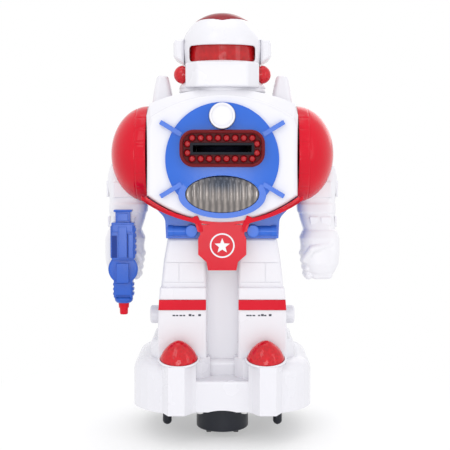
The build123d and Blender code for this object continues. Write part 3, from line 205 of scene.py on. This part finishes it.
def painted_flute_reflections(name):
    """Smoky clear lens over a fluted metallised bowl, with painted reflections: upright bands of painted highlight and
    painted shade, and painted shade over the upper middle that fades to the rim.
    """
    m, nt, p = new_mat(name)
    n, l = nt.nodes, nt.links
    tc = n.new("ShaderNodeTexCoord")
    # upright bands of painted highlight and painted shade, standing in for reflections in the flutes
    flute_glint_bands = n.new("ShaderNodeTexWave")
    flute_glint_bands.bands_direction = "X"
    flute_glint_bands.inputs["Scale"].default_value = 68.3
    flute_glint_bands.inputs["Distortion"].default_value = 0.6
    flute_glint_bands.inputs["Detail"].default_value = 1.0
    flute_glint_bands.inputs["Detail Scale"].default_value = 3.0
    l.new(tc.outputs["Object"], flute_glint_bands.inputs["Vector"])
    ns = n.new("ShaderNodeTexNoise")
    ns.inputs["Scale"].default_value = 130.0
    ns.inputs["Detail"].default_value = 4.0
    l.new(tc.outputs["Object"], ns.inputs["Vector"])
    glint_pattern = n.new("ShaderNodeMath")
    glint_pattern.operation = "MULTIPLY"
    l.new(flute_glint_bands.outputs["Fac"], glint_pattern.inputs[0])
    l.new(ns.outputs["Fac"], glint_pattern.inputs[1])
    ramp = n.new("ShaderNodeValToRGB")
    ramp.color_ramp.elements[0].position, ramp.color_ramp.elements[1].position = 0.05, 0.62
    ramp.color_ramp.elements[0].color = (0.135, 0.122, 0.118, 1)
    ramp.color_ramp.elements[1].color = (0.36, 0.32, 0.30, 1)
    l.new(glint_pattern.outputs[0], ramp.inputs["Fac"])
    # painted shade: the upper middle of the lens is darkened towards dark blue, most at the centre line
    sep = n.new("ShaderNodeSeparateXYZ")
    l.new(tc.outputs["Object"], sep.inputs["Vector"])
    shade_top_ramp = n.new("ShaderNodeMapRange")
    shade_top_ramp.interpolation_type = "SMOOTHSTEP"
    shade_top_ramp.inputs["From Min"].default_value, shade_top_ramp.inputs["From Max"].default_value = 0.1895, 0.1985
    l.new(sep.outputs["Z"], shade_top_ramp.inputs["Value"])
    mid = n.new("ShaderNodeMapRange")
    mid.interpolation_type = "SMOOTHSTEP"
    mid.inputs["From Min"].default_value, mid.inputs["From Max"].default_value = 0.0, 0.021
    mid.inputs["To Min"].default_value, mid.inputs["To Max"].default_value = 1.0, 0.35
    ab = n.new("ShaderNodeMath")
    ab.operation = "ABSOLUTE"
    l.new(sep.outputs["X"], ab.inputs[0])
    l.new(ab.outputs[0], mid.inputs["Value"])
    painted_shade_amount = n.new("ShaderNodeMath")
    painted_shade_amount.operation = "MULTIPLY"
    l.new(shade_top_ramp.outputs["Result"], painted_shade_amount.inputs[0])
    l.new(mid.outputs["Result"], painted_shade_amount.inputs[1])
    painted_shade_mix = n.new("ShaderNodeMix")
    painted_shade_mix.data_type = "RGBA"
    l.new(painted_shade_amount.outputs[0], painted_shade_mix.inputs["Factor"])
    l.new(ramp.outputs["Color"], painted_shade_mix.inputs[6])
    painted_shade_mix.inputs[7].default_value = (0.030, 0.042, 0.070, 1)
    l.new(painted_shade_mix.outputs[2], p.inputs["Base Color"])
    p.inputs["Roughness"].default_value = 0.13
    p.inputs["Metallic"].default_value = 0.55
    p.inputs["Coat Weight"].default_value = 0.6
    p.inputs["Coat Roughness"].default_value = 0.03
    return m


PAINTED_FLUTE_REFLECTIONS = painted_flute_reflections("belly_painted_flute_reflections")

CAD_MATS = {
    "torso_front": WHITE, "torso_back": WHITE, "shoulder_posts": WHITE, "legs_front": WHITE, "legs_back": WHITE,
    "knee_knobs": WHITE, "helmet_front": WHITE, "helmet_rear": WHITE, "ear_pods": WHITE, "fire_button": WHITE,
    "arm_inner_left": WHITE2, "arm_outer_left": WHITE2, "arm_inner_right": WHITE2, "arm_outer_right": WHITE2,
    "battery_door": WHITE, "shield_emblem": WHITE,
    "trim_shield": RED, "shoulder_cap_left": RED, "shoulder_cap_right": RED, "crown_inlay": CROWN, "knee_bands": RED,
    "blaster_tip": RED, "chest_plate": BLUE, "waist": BLUE, "blaster_half_outer": BLUE, "blaster_half_inner": BLUE,
    "visor": VISOR, "cheek_lamps": REDCLEAR, "toe_lamps": REDCLEAR, "lamp_bezel": BEZEL, "belly_lens": CLEAR,
    "belly_reflector": MIRROR, "launch_chute": NAVY_SHINY, "disc_magazine": NAVY, "base_plate": NAVY, "skids": NAVY,
    "turret_drum": NAVY, "turret_ring": NAVY, "head_base": NAVY, "power_switch": NAVY, "speaker": NAVY,
    "drive_wheels": RUBBER, "rear_wheel_left": NAVY, "rear_wheel_right": NAVY, "flywheel": RUBBER,
    "case_screws": STEEL, "rear_axle_pins": STEEL, "battery_contacts": STEEL, "launch_motor": STEEL, "drive_motor": STEEL,
    "drive_axle": STEEL, "button_spring": STEEL, "motor_pinion": BRASS, "idler_gear": WHITE2, "axle_gear": WHITE2,
    "main_board": PCB, "head_light_board": PCB, "battery_cells": GREY, "foam_discs": FOAM, "belly_lamp": GREY,
}
for name, ob in nodes.items():
    mat = CAD_MATS.get(name, WHITE)
    if not ob.material_slots:
        ob.data.materials.append(mat)
    for s in ob.material_slots:
        s.material = mat

# the helmet's front shell has soft moulded corners
soft_skin = nodes["helmet_front"].modifiers.new("blend", "REMESH")
soft_skin.mode = "VOXEL"
soft_skin.voxel_size = 0.0007
soft_skin.use_smooth_shade = True
relax = nodes["helmet_front"].modifiers.new("relax", "SMOOTH")
relax.factor = 0.5
relax.iterations = 16

# ------------------------------------------------------------------- helpers
HIDDEN = set()


def link(name, me, mat, body=root, bevel=0.0, seg=3, angle=30, sub=0, smooth=True, replaces=()):
    o = bpy.data.objects.new(name, me)
    scene.collection.objects.link(o)
    if mat is not None:
        me.materials.clear()
        me.materials.append(mat)
    for p in me.polygons:
        p.use_smooth = smooth
    if bevel:
        b = o.modifiers.new("bevel", "BEVEL")
        b.width, b.segments, b.limit_method, b.angle_limit = bevel * MM, seg, "ANGLE", radians(angle)
        b.harden_normals = False
        b.use_clamp_overlap = True
    if sub:
        s = o.modifiers.new("sub", "SUBSURF")
        s.levels = s.render_levels = sub
    if smooth and not sub:
        wn = o.modifiers.new("wn", "WEIGHTED_NORMAL")
        wn.keep_sharp = False
    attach(o, body)
    if replaces:
        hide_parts(*replaces)
    return o


def mesh(verts, faces, name="m"):
    me = bpy.data.meshes.new(name)
    me.from_pydata([tuple(c * MM for c in v) for v in verts], [], faces)
    bm = bmesh.new()
    bm.from_mesh(me)
    bmesh.ops.remove_doubles(bm, verts=bm.verts, dist=1e-7)
    bmesh.ops.recalc_face_normals(bm, faces=bm.faces)
    bm.to_mesh(me)
    bm.free()
    return me


def prism(pts, y0, y1, taper=0.0, centre=None):
    """Outline (x, z) extruded from y0 (front) to y1; taper shrinks the front outline towards its centre."""
    n = len(pts)
    cx, cz = centre if centre else (sum(p[0] for p in pts) / n, sum(p[1] for p in pts) / n)
    f = [(cx + (x - cx) * (1 - taper), y0, cz + (z - cz) * (1 - taper)) for x, z in pts]
    b = [(x, y1, z) for x, z in pts]
    faces = [tuple(range(n)), tuple(reversed(range(n, 2 * n)))]
    faces += [(i, (i + 1) % n, n + (i + 1) % n, n + i) for i in range(n)]
    return f + b, faces


def boxm(x0, x1, y0, y1, z0, z1):
    v = [(x, y, z) for x in (x0, x1) for y in (y0, y1) for z in (z0, z1)]
    f = [(0, 1, 3, 2), (4, 6, 7, 5), (0, 4, 5, 1), (2, 3, 7, 6), (0, 2, 6, 4), (1, 5, 7, 3)]
    return v, f


def lathe(profile, centre=(0, 0, 0), axis="Z", seg=64, squash=(1, 1)):
    """profile is (radius, height) from one end to the other."""
    v, f = [], []
    for r, h in profile:
        for k in range(seg):
            a = 2 * pi * k / seg
            u, w = r * cos(a) * squash[0], r * sin(a) * squash[1]
            p = {"Z": (u, w, h), "X": (h, u, w), "Y": (u, h, w), "-Y": (u, -h, w), "-X": (-h, u, w)}[axis]
            v.append((p[0] + centre[0], p[1] + centre[1], p[2] + centre[2]))
    m = len(profile)
    for i in range(m - 1):
        for k in range(seg):
            f.append((i * seg + k, i * seg + (k + 1) % seg, (i + 1) * seg + (k + 1) % seg, (i + 1) * seg + k))
    f.append(tuple(range(seg)))
    f.append(tuple(reversed(range((m - 1) * seg, m * seg))))
    return v, f


def join(*parts):
    v, f = [], []
    for pv, pf in parts:
        o = len(v)
        v += list(pv)
        f += [tuple(i + o for i in q) for q in pf]
    return v, f


def mirrored(part):
    v, f = part
    return [(-x, y, z) for x, y, z in v], [tuple(reversed(q)) for q in f]


def rot_about(part, point, axis, deg):
    m = Matrix.Translation(point) @ Matrix.Rotation(radians(deg), 4, axis) @ Matrix.Translation([-c for c in point])
    return [tuple(m @ Vector(p)) for p in part[0]], part[1]


def rrect(cx, cz, w, h, r, n=6):
    pts = []
    for sx, sz, a0 in ((1, 1, 0), (-1, 1, 90), (-1, -1, 180), (1, -1, 270)):
        for k in range(n + 1):
            a = radians(a0 + 90 * k / n)
            pts.append((cx + sx * (w / 2 - r) + r * cos(a), cz + sz * (h / 2 - r) + r * sin(a)))
    return pts


def capsule(p, q, r0, r1, seg=16, rings=6):
    """Rounded bar from p to q."""
    p, q = Vector(p), Vector(q)
    d = (q - p)
    L = d.length
    rot = d.to_track_quat("Z", "Y").to_matrix()
    prof = [(r0 * sin(pi / 2 * k / rings), -r0 * cos(pi / 2 * k / rings)) for k in range(1, rings + 1)]
    prof += [(r1 * cos(pi / 2 * k / rings), L + r1 * sin(pi / 2 * k / rings)) for k in range(rings)]
    v, f = lathe(prof, seg=seg)
    return [tuple(p + rot @ Vector(x)) for x in v], f


def remeshed(part, voxel=0.7, smooth=6, name="blend"):
    """One skin round overlapping forms, with softened creases."""
    me = mesh(*part, name=name)
    o = bpy.data.objects.new(name + "_tmp", me)
    scene.collection.objects.link(o)
    r = o.modifiers.new("r", "REMESH")
    r.mode, r.voxel_size = "VOXEL", voxel * MM
    s = o.modifiers.new("s", "SMOOTH")
    s.factor, s.iterations = 0.5, smooth
    dg = bpy.context.evaluated_depsgraph_get()
    out = bpy.data.meshes.new_from_object(o.evaluated_get(dg))
    bpy.data.objects.remove(o)
    return out




def cuts(part, x, keep):
    """Half of a mesh on one side of the plane x, closed."""
    bm = bmesh.new()
    bm.from_mesh(part)
    g = bm.verts[:] + bm.edges[:] + bm.faces[:]
    out = bmesh.ops.bisect_plane(bm, geom=g, plane_co=(x * MM, 0, 0), plane_no=(1, 0, 0), clear_outer=(keep < 0), clear_inner=(keep > 0))
    ed = [e for e in out["geom_cut"] if isinstance(e, bmesh.types.BMEdge)]
    bmesh.ops.holes_fill(bm, edges=ed, sides=0)
    me = bpy.data.meshes.new("half")
    bm.to_mesh(me)
    bm.free()
    return me


def sections(rows, seg=56):
    """Skin through superellipse sections. rows: z, x0, x1, y centre, half depth, roundness power."""
    v, f = [], []
    for z, x0, x1, yc, hy, pw in rows:
        cx, hx = (x0 + x1) / 2, (x1 - x0) / 2
        for k in range(seg):
            a = 2 * pi * k / seg
            c, s = cos(a), sin(a)
            v.append((cx + hx * (abs(c) ** (2 / pw)) * (1 if c >= 0 else -1), yc + hy * (abs(s) ** (2 / pw)) * (1 if s >= 0 else -1), z))
    m = len(rows)
    for i in range(m - 1):
        for k in range(seg):
            f.append((i * seg + k, i * seg + (k + 1) % seg, (i + 1) * seg + (k + 1) % seg, (i + 1) * seg + k))
    f.append(tuple(range(seg)))
    f.append(tuple(reversed(range((m - 1) * seg, m * seg))))
    return v, f


# ---------------------------------------------------------------------- arms
def arm_parts(fist=True):
    upper = sections([(217, 68, 86, 5, 11.5, 3.4), (211, 63, 90.0, 7, 14.6, 3.6), (203, 61, 92.0, 8.0, 15.6, 3.8), (194, 60.5, 91.6, 8.0, 15.6, 3.8),
                      (184, 60.4, 90.6, 6.8, 15.0, 3.8), (179.6, 60.6, 90.2, 5.8, 14.7, 3.8)])
    band = sections([(181.4, 60.0, 90.9, 6.1, 15.3, 3.8), (174.4, 60.4, 90.8, 4.4, 14.8, 3.8)])
    fore = sections([(175.5, 60.9, 90.3, 4.6, 14.3, 3.6), (168, 62.6, 90.0, 2.0, 13.6, 3.4), (161, 64.8, 90.2, -0.6, 12.8, 3.2), (156, 65.4, 91.0, -2.0, 12.6, 3.2)])
    cuff = sections([(160.4, 64.8, 91.0, -1.2, 13.2, 3.2), (154.6, 61.8, 93.3, -2.4, 14.8, 3.0), (151.0, 62.2, 93.3, -3.0, 14.9, 3.0), (146, 63.4, 92.6, -3.2, 14.4, 3.0)])
    palm = sections([(151.5, 63.0, 93.2, -3.0, 14.4, 3.2), (143, 62.4, 93.3, -3.6, 14.9, 3.2), (134, 63.4, 92.6, -3.8, 14.9, 3.0), (127.6, 66.6, 89.6, -4.0, 13.8, 2.8), (123.6, 70.6, 86.6, -4.2, 11.2, 2.5)])
    fing = [capsule((88.2, -13.2, 143.8 - 6.3 * k), (68.8 + 1.1 * k, -14.4 + 0.5 * k, 142.2 - 6.3 * k), 3.5, 3.3) for k in range(4)]
    fing = [capsule((87.0 - k, -13.4, 143.2 - 6.0 * k), (69.4 + 1.4 * k, -14.6 + 0.4 * k, 141.6 - 5.6 * k), 3.5 - 0.12 * k, 3.3 - 0.12 * k) for k in range(4)]
    roll = [capsule((66.4 + 0.6 * k, -13.0, 141.6 - 5.6 * k), (64.9 + 0.9 * k, 1.5, 141.4 - 5.4 * k), 3.2, 3.4) for k in range(4)]
    thumb = [capsule((84.0, -14.6, 149.6), (70.4, -17.6, 146.0), 3.6, 3.2), capsule((70.4, -17.6, 146.0), (65.2, -15.4, 137.6), 3.2, 2.8)]
    return join(upper, band, fore, cuff, palm, *fing, *roll, *thumb)


def arm(side):
    part = arm_parts()
    if side < 0:
        part = mirrored(part)
    me = remeshed(part, voxel=0.55, smooth=5, name="arm")
    tag = "left" if side > 0 else "right"
    body = f"{tag}_arm"
    link(f"arm_skin_{tag}", me, WHITE2, body, replaces=(f"arm_inner_{tag}", f"arm_outer_{tag}"), angle=60)
    # moulded armour plates on the upper arm and forearm
    plates = [prism([(side * x, z) for x, z in ((66.5, 199), (86.5, 199), (87.0, 186), (66.0, 186))], -8.4, -6.0, 0.05),
              prism([(side * x, z) for x, z in ((68.5, 171.5), (76.0, 171.5), (76.0, 163.5), (70.0, 163.5))], -12.0, -9.0, 0.06),
              prism([(side * x, z) for x, z in ((77.6, 171.5), (86.5, 171.5), (86.0, 163.5), (77.6, 163.5))], -12.0, -9.0, 0.06)]
    o = link(f"arm_plates_{tag}", mesh(*join(*plates)), WHITE2, body, bevel=0.5)
    side_plate = []
    for z0, z1, y0, y1 in ((186.5, 199.5, -1.0, 17.0), (163, 171.5, -6.5, 8.5)):
        xx = 92.1 if z0 > 180 else 90.6
        side_plate.append(boxm(side * xx - 1.2, side * xx + 0.5 * side if side > 0 else side * xx + 1.2, y0, y1, z0, z1) if side > 0 else boxm(side * xx - 0.5, side * xx + 1.2, y0, y1, z0, z1))
    link(f"arm_side_plates_{tag}", mesh(*join(*side_plate)), WHITE2, body, bevel=0.45)


arm(1)
arm(-1)


# -------------------------------------------------------------- shoulder caps
def cap(side):
    seg, rings = 288, 110
    v, f = [], []
    hgroove = [248.8, 240.3, 230.2, 227.6, 218.3, 205.7, 195.1]
    for i in range(rings + 1):
        t = (pi / 2) * (i / rings) ** 1.0
        x = 29.8 * sin(t)
        r0 = 38.2 * cos(t)
        for k in range(seg):
            a = 2 * pi * k / seg
            y, z = r0 * cos(a), 220.5 + r0 * sin(a)
            d = 0.0
            d = max(d, 0.55 * max(0.0, 1 - abs(x - 8.6) / 0.55))
            if x < 8.6:
                for h in hgroove:
                    d = max(d, 0.55 * max(0.0, 1 - abs(z - h) / 0.6))
            rr = max(r0 - d, 0.0)
            v.append((side * (58.6 + x), rr * cos(a), 220.5 + rr * sin(a)))
    for i in range(rings):
        for k in range(seg):
            q = (i * seg + k, i * seg + (k + 1) % seg, (i + 1) * seg + (k + 1) % seg, (i + 1) * seg + k)
            f.append(q if side > 0 else tuple(reversed(q)))
    f.append(tuple(range(seg)) if side < 0 else tuple(reversed(range(seg))))
    tag = "left" if side > 0 else "right"
    me = mesh(v, f)
    o = link(f"shoulder_dome_{tag}", me, RED, f"{tag}_arm", replaces=(f"shoulder_cap_{tag}",))
    hub = lathe([(8.0, 52.2), (8.07, 52.6), (10.0, 52.8), (10.2, 53.0), (10.2, 54.8), (10.0, 55.0), (8.07, 55.1), (8.07, 59.2)], (0, 0, 220.5), "X" if side > 0 else "-X", 48)
    link(f"shoulder_pivot_{tag}", mesh(*hub), RED, f"{tag}_arm")


cap(1)
cap(-1)


# -------------------------------------------------------------------- blaster
def bx(x0, x1, y0, y1, z0, z1):
    return boxm(min(x0, x1), max(x0, x1), min(y0, y1), max(y0, y1), min(z0, z1), max(z0, z1))


GX = -76.2
gun_main = [
    bx(GX - 7.1, GX + 7.1, -36.0, -25.0, 176.6, 178.3),
    bx(GX - 5.7, GX + 5.7, -35.2, -25.6, 168.0, 177.0),
    bx(GX - 8.6, GX + 8.6, -37.2, -24.4, 139.6, 168.6),
    bx(GX - 9.6, GX + 9.4, -35.4, -26.2, 141.0, 166.0),
    bx(GX - 7.3, GX + 7.3, -35.6, -25.0, 110.4, 138.0),
]
link("blaster_body", mesh(*join(*gun_main)), GUNBLUE, "blaster", bevel=0.7, replaces=("blaster_half_outer", "blaster_half_inner"))
gun_fine = [
    bx(GX - 3.4, GX + 3.4, -38.4, -36.0, 141.5, 165.5),          # middle rib
    bx(GX + 4.3, GX + 8.2, -38.0, -36.0, 141.2, 160.0),          # raised panel
    bx(GX - 7.6, GX + 7.8, -38.0, -36.0, 161.4, 167.2),          # shoulder block
    bx(GX - 4.6, GX + 4.6, -39.4, -34.6, 122.4, 137.4),          # rail over the drum
    bx(GX - 5.4, GX + 5.4, -36.6, -33.0, 112.6, 122.0),
    bx(GX - 6.6, GX - 5.0, -36.6, -33.0, 111.4, 121.6), bx(GX + 5.0, GX + 6.6, -36.6, -33.0, 111.4, 121.6),
    bx(GX - 4.2, GX + 4.2, -36.4, -34.0, 169.6, 175.4),
]
for k in range(5):
    gun_fine.append(bx(GX + 8.8, GX + 10.1, -33.6, -28.0, 144.0 + 4.4 * k, 146.6 + 4.4 * k))
for k in range(3):
    gun_fine.append(bx(GX + 6.8, GX + 8.2, -33.6, -28.0, 112.4 + 3.6 * k, 114.4 + 3.6 * k))
    gun_fine.append(bx(GX - 6.8, GX - 8.0, -33.6, -28.0, 112.4 + 3.6 * k, 114.4 + 3.6 * k))
link("blaster_ribs", mesh(*join(*gun_fine)), GUNBLUE, "blaster", bevel=0.4)
# thin dark blue plates on the blaster's face and side: painted shade where recesses would be shaded; no recess is cut
recess_shade_plates = [bx(GX - 8.35, GX - 4.4, -37.32, -36.6, 141.6, 158.6), bx(GX - 9.72, GX - 9.2, -34.4, -28.0, 143.0, 158.0), bx(GX + 3.6, GX + 4.25, -37.3, -36.6, 141.4, 160.2)]
link("blaster_painted_recess_shade", mesh(*join(*recess_shade_plates)), GUN_PAINTED_SHADE, "blaster", bevel=0.12, seg=2)
drum = lathe([(9.8, -36.0), (11.0, -35.6), (11.4, -35.0), (11.4, -27.0), (11.0, -26.4), (9.8, -26.0)], (GX, 0, 132.6), "Y", 72)
link("blaster_drum", mesh(*drum), GUNBLUE, "blaster")
nose = lathe([(7.1, 111.2), (7.1, 109.0), (6.7, 107.6), (5.6, 106.4), (5.0, 106.3)], (GX, -30.5, 0), "Z", 48)
link("blaster_nose", mesh(*nose), GUNBLUE, "blaster")
peg = lathe([(3.92, -25.4), (3.92, 12.6), (3.5, 13.3)], (GX, 0, 140.0), "Y", 40)
saddle = bx(GX - 5, GX + 5, -26.4, -22.3, 134, 146)
link("blaster_grip", mesh(*join(peg, saddle)), GUNBLUE, "blaster", bevel=0.3, angle=50)
tip = lathe([(4.0, 106.9), (4.2, 106.2), (3.9, 102.4), (3.3, 102.0), (3.1, 98.0), (2.8, 97.2), (1.8, 97.2), (1.7, 101.5)], (GX, -30.5, 0), "Z", 40)
link("blaster_muzzle", mesh(*tip), RED, "blaster", replaces=("blaster_tip",))

# --------------------------------------------------------------- chest lights
def ring_prism(outer, inner, y0, y1):
    n = len(outer)
    v = [(x, y0, z) for x, z in outer] + [(x, y0, z) for x, z in inner] + [(x, y1, z) for x, z in outer] + [(x, y1, z) for x, z in inner]
    f = []
    for i in range(n):
        j = (i + 1) % n
        f += [(i, j, n + j, n + i), (2 * n + i, 3 * n + i, 3 * n + j, 2 * n + j), (i, 2 * n + i, 2 * n + j, j), (n + i, n + j, 3 * n + j, 3 * n + i)]
    return v, f


rim = ring_prism(rrect(0, 225.2, 64.0, 28.0, 10.5, 12), rrect(0, 225.2, 58.6, 22.6, 7.8, 12), -51.5, -47.7)
link("bezel_rim", mesh(*rim), BEZEL, root, bevel=1.3, seg=5, replaces=("lamp_bezel",))
# the recessed face and, below, the lamp sockets use the darker bezel red as painted shade
face = ring_prism(rrect(0, 225.2, 60.0, 24.0, 8.5, 12), rrect(0, 225.0, 47.2, 8.6, 0.5, 12), -49.6, -43.0)
link("bezel_face", mesh(*face), BEZEL_SHADED, root, bevel=0.3, seg=2)
bumps = [(x, dz) for dz in (-7.8, 7.8) for x in (-22.5, -16.1, -9.65, -3.2, 3.2, 9.65, 16.1, 22.5)]
bumps += [(x, dz) for x in (-26.0, 26.0) for dz in (-3.4, 3.4)]
dome, sock = [], []
for x, dz in bumps:
    dome.append(lathe([(2.25 * cos(radians(a)), 49.6 + 2.0 * sin(radians(a))) for a in range(0, 90, 10)] + [(0.05, 51.6)], (x, 0, 225.2 + dz), "-Y", 28))
    sock.append(lathe([(3.0, 49.4), (3.0, 49.95), (2.8, 50.15), (2.4, 50.15), (2.3, 49.9), (2.3, 49.4)], (x, 0, 225.2 + dz), "-Y", 28))
link("bezel_lamps", mesh(*join(*dome)), LENSRED, root)
link("bezel_sockets", mesh(*join(*sock)), BEZEL_SHADED, root)

# --------------------------------------------------- red trim over the waistline
def arc_z(x, ends, mid):
    """Height at x of the circle arc through (-62, ends), (0, mid) and (62, ends)."""
    h = ends - mid
    rad = (62.0 * 62.0 + h * h) / (2 * h)
    return mid + rad - sqrt(rad * rad - x * x)


for side in (-1, 1):
    hi = [(side * x, arc_z(x, 189.7, 170.1)) for x in (61.7, 57, 52, 47, 42, 37, 32, 27, 22.6)]
    lo = [(side * x, arc_z(x, 186.3, 166.9)) for x in (61.7, 57, 52, 47, 42, 37, 32, 27, 24.2)]
    pts = hi + [(side * 21.6, 173.6), (side * 18.7, 174.5), (side * 15.2, 166.9), (side * 14.6, 162.0), (side * 17.0, 162.0), (side * 18.2, 167.4), (side * 22.2, 169.0)] + lo[::-1]
    o = prism(pts, -43.5, -41.0)
    # the band follows the rounded corner of the torso
    o = ([(x, y + max(0.0, abs(x) - 53.0) ** 2 / 15.0, z) for x, y, z in o[0]], o[1])
    link("trim_band_" + ("left" if side > 0 else "right"), mesh(*o), RED, root, bevel=0.45)

# ----------------------------------------------------------------- belly lens
na, nr = 200, 34
v, f = [], []
for i in range(nr + 1):
    t = i / nr
    for k in range(na):
        a = 2 * pi * k / na
        x, z = 27.8 * t * cos(a), 14.05 * t * sin(a)
        dome_y = -44.9 - 2.0 * sqrt(max(0.0, 1 - t * t * 0.985))
        rib = 0.95 * abs(cos(pi * x / 4.6)) * min(1.0, (1 - t) * 5)
        v.append((x, dome_y + 0.5 * min(1.0, (1 - t) * 7) - rib + 0.1, 190.7 + z))
for i in range(nr):
    for k in range(na):
        f.append((i * na + k, i * na + (k + 1) % na, (i + 1) * na + (k + 1) % na, (i + 1) * na + k))
base = len(v)
for k in range(na):
    a = 2 * pi * k / na
    v.append((27.8 * cos(a), -43.6, 190.7 + 14.05 * sin(a)))
for k in range(na):
    f.append((nr * na + k, nr * na + (k + 1) % na, base + (k + 1) % na, base + k))
f.append(tuple(base + k for k in range(na)))
# the lens material carries painted reflections and painted shade
link("belly_lens_cover", mesh(v, f), PAINTED_FLUTE_REFLECTIONS, root, replaces=("belly_lens",))

# -------------------------------------------------- flared rim under the helmet
flare = lathe([(30.4, 278.2), (31.3, 275.6), (33.2, 273.0), (34.3, 270.9), (34.3, 269.5), (33.6, 269.25), (29.0, 269.25)], (0, 1.0, 0), "Z", 128)
link("helmet_rim", mesh(*flare), WHITE, "head", angle=50)

# ------------------------------------------------------------------ toe lamps
def tilt(pts, side):
    m = Matrix.Translation((side * 33.2, -43.0, 64.4)) @ Matrix.Rotation(radians(15), 4, "X")
    return [tuple(m @ Vector(p)) for p in pts]


def toe(side):
    tag = "left" if side > 0 else "right"
    v, f = [], []
    na, nr = 72, 26
    for i in range(nr + 1):
        h = i / nr
        h = 1 - (1 - h) ** 1.6
        r = max(0.004, (1 - h ** 1.5) ** 0.66)
        for k in range(na):
            a = 2 * pi * k / na
            v.append((14.3 * r * cos(a), 12.9 * r * sin(a) + 1.4 * h, 0.3 + 14.6 * h))
    for i in range(nr):
        for k in range(na):
            f.append((i * na + k, i * na + (k + 1) % na, (i + 1) * na + (k + 1) % na, (i + 1) * na + k))
    f.append(tuple(reversed(range(na))))
    f.append(tuple(range(nr * na, (nr + 1) * na)))
    me = mesh(tilt(v, side), f)
    lamp = link(f"toe_lamp_dome_{tag}", me, REDCLEAR, root, replaces=("toe_lamps",) if side > 0 else ())
    # white collar
    cv, cf = [], []
    prof = [(1.0, -0.6), (1.0, 0.55), (1.035, 0.9), (1.085, 0.75), (1.12, 0.1), (1.12, -0.6)]
    for r, h in prof:
        for k in range(na):
            a = 2 * pi * k / na
            cv.append((14.3 * r * cos(a), 12.9 * r * sin(a), h))
    m = len(prof)
    for i in range(m):
        for k in range(na):
            cf.append((i * na + k, i * na + (k + 1) % na, ((i + 1) % m) * na + (k + 1) % na, ((i + 1) % m) * na + k))
    link(f"toe_collar_{tag}", mesh(tilt(cv, side), cf), WHITE, root)


toe(1)
toe(-1)

# ------------------------------------------------- marks printed on the shins
tick = []
for s, xs in ((-1, (-38.5, -35.8, -33.1, -30.4, -26.0, -23.3, -18.6)), (1, (18.6, 21.0, 23.4, 27.6, 30.0, 32.4, 36.0))):
    for i, x in enumerate(xs):
        h = 2.6 if i in (4, 6) else 1.7
        tick.append(bx(x, x + (1.7 if i % 2 else 2.1), -31.62, -31.46, 95.6, 95.6 + h * 0.62))
link("shin_ticks", mesh(*join(*tick)), INK, root)

# ------------------------------------------ louvred panel between the heels
louvre = [bx(-13.4, 13.4, 28.4, 30.2, 46.8, 61.8)]
for k in range(4):
    louvre.append(bx(-8.2, 8.2, 29.8, 30.9, 50.2 + 2.8 * k, 51.4 + 2.8 * k))
link("heel_panel", mesh(*join(*louvre)), WHITE, root, bevel=0.35, seg=2)

# ---------------------------------------------------------------------- floor
fl = bpy.data.meshes.new("floor")
fl.from_pydata([(-4, -4, 0), (4, -4, 0), (4, 4, 0), (-4, 4, 0)], [], [(0, 1, 2, 3)])
floor = bpy.data.objects.new("floor", fl)
scene.collection.objects.link(floor)
fm, fnt, fp = new_mat("studio_floor")
fn, fln = fnt.nodes, fnt.links
fp.inputs["Base Color"].default_value = (0.93, 0.93, 0.94, 1)
fp.inputs["Roughness"].default_value = 0.7
glow = fn.new("ShaderNodeEmission")
glow.inputs["Color"].default_value = (1, 1, 1, 1)
ftc = fn.new("ShaderNodeTexCoord")
dist = fn.new("ShaderNodeVectorMath")
dist.operation = "LENGTH"
fln.new(ftc.outputs["Object"], dist.inputs[0])
far = fn.new("ShaderNodeMapRange")
far.inputs["From Min"].default_value, far.inputs["From Max"].default_value = 0.10, 0.26
far.inputs["To Min"].default_value, far.inputs["To Max"].default_value = 0.38, 1.0
fln.new(dist.outputs["Value"], far.inputs["Value"])
blend = fn.new("ShaderNodeMixShader")
fln.new(far.outputs["Result"], blend.inputs["Fac"])
fln.new(fp.outputs["BSDF"], blend.inputs[1])
fln.new(glow.outputs["Emission"], blend.inputs[2])
fln.new(blend.outputs["Shader"], fn["Material Output"].inputs["Surface"])
fl.materials.append(fm)
floor.location.z = -0.0002
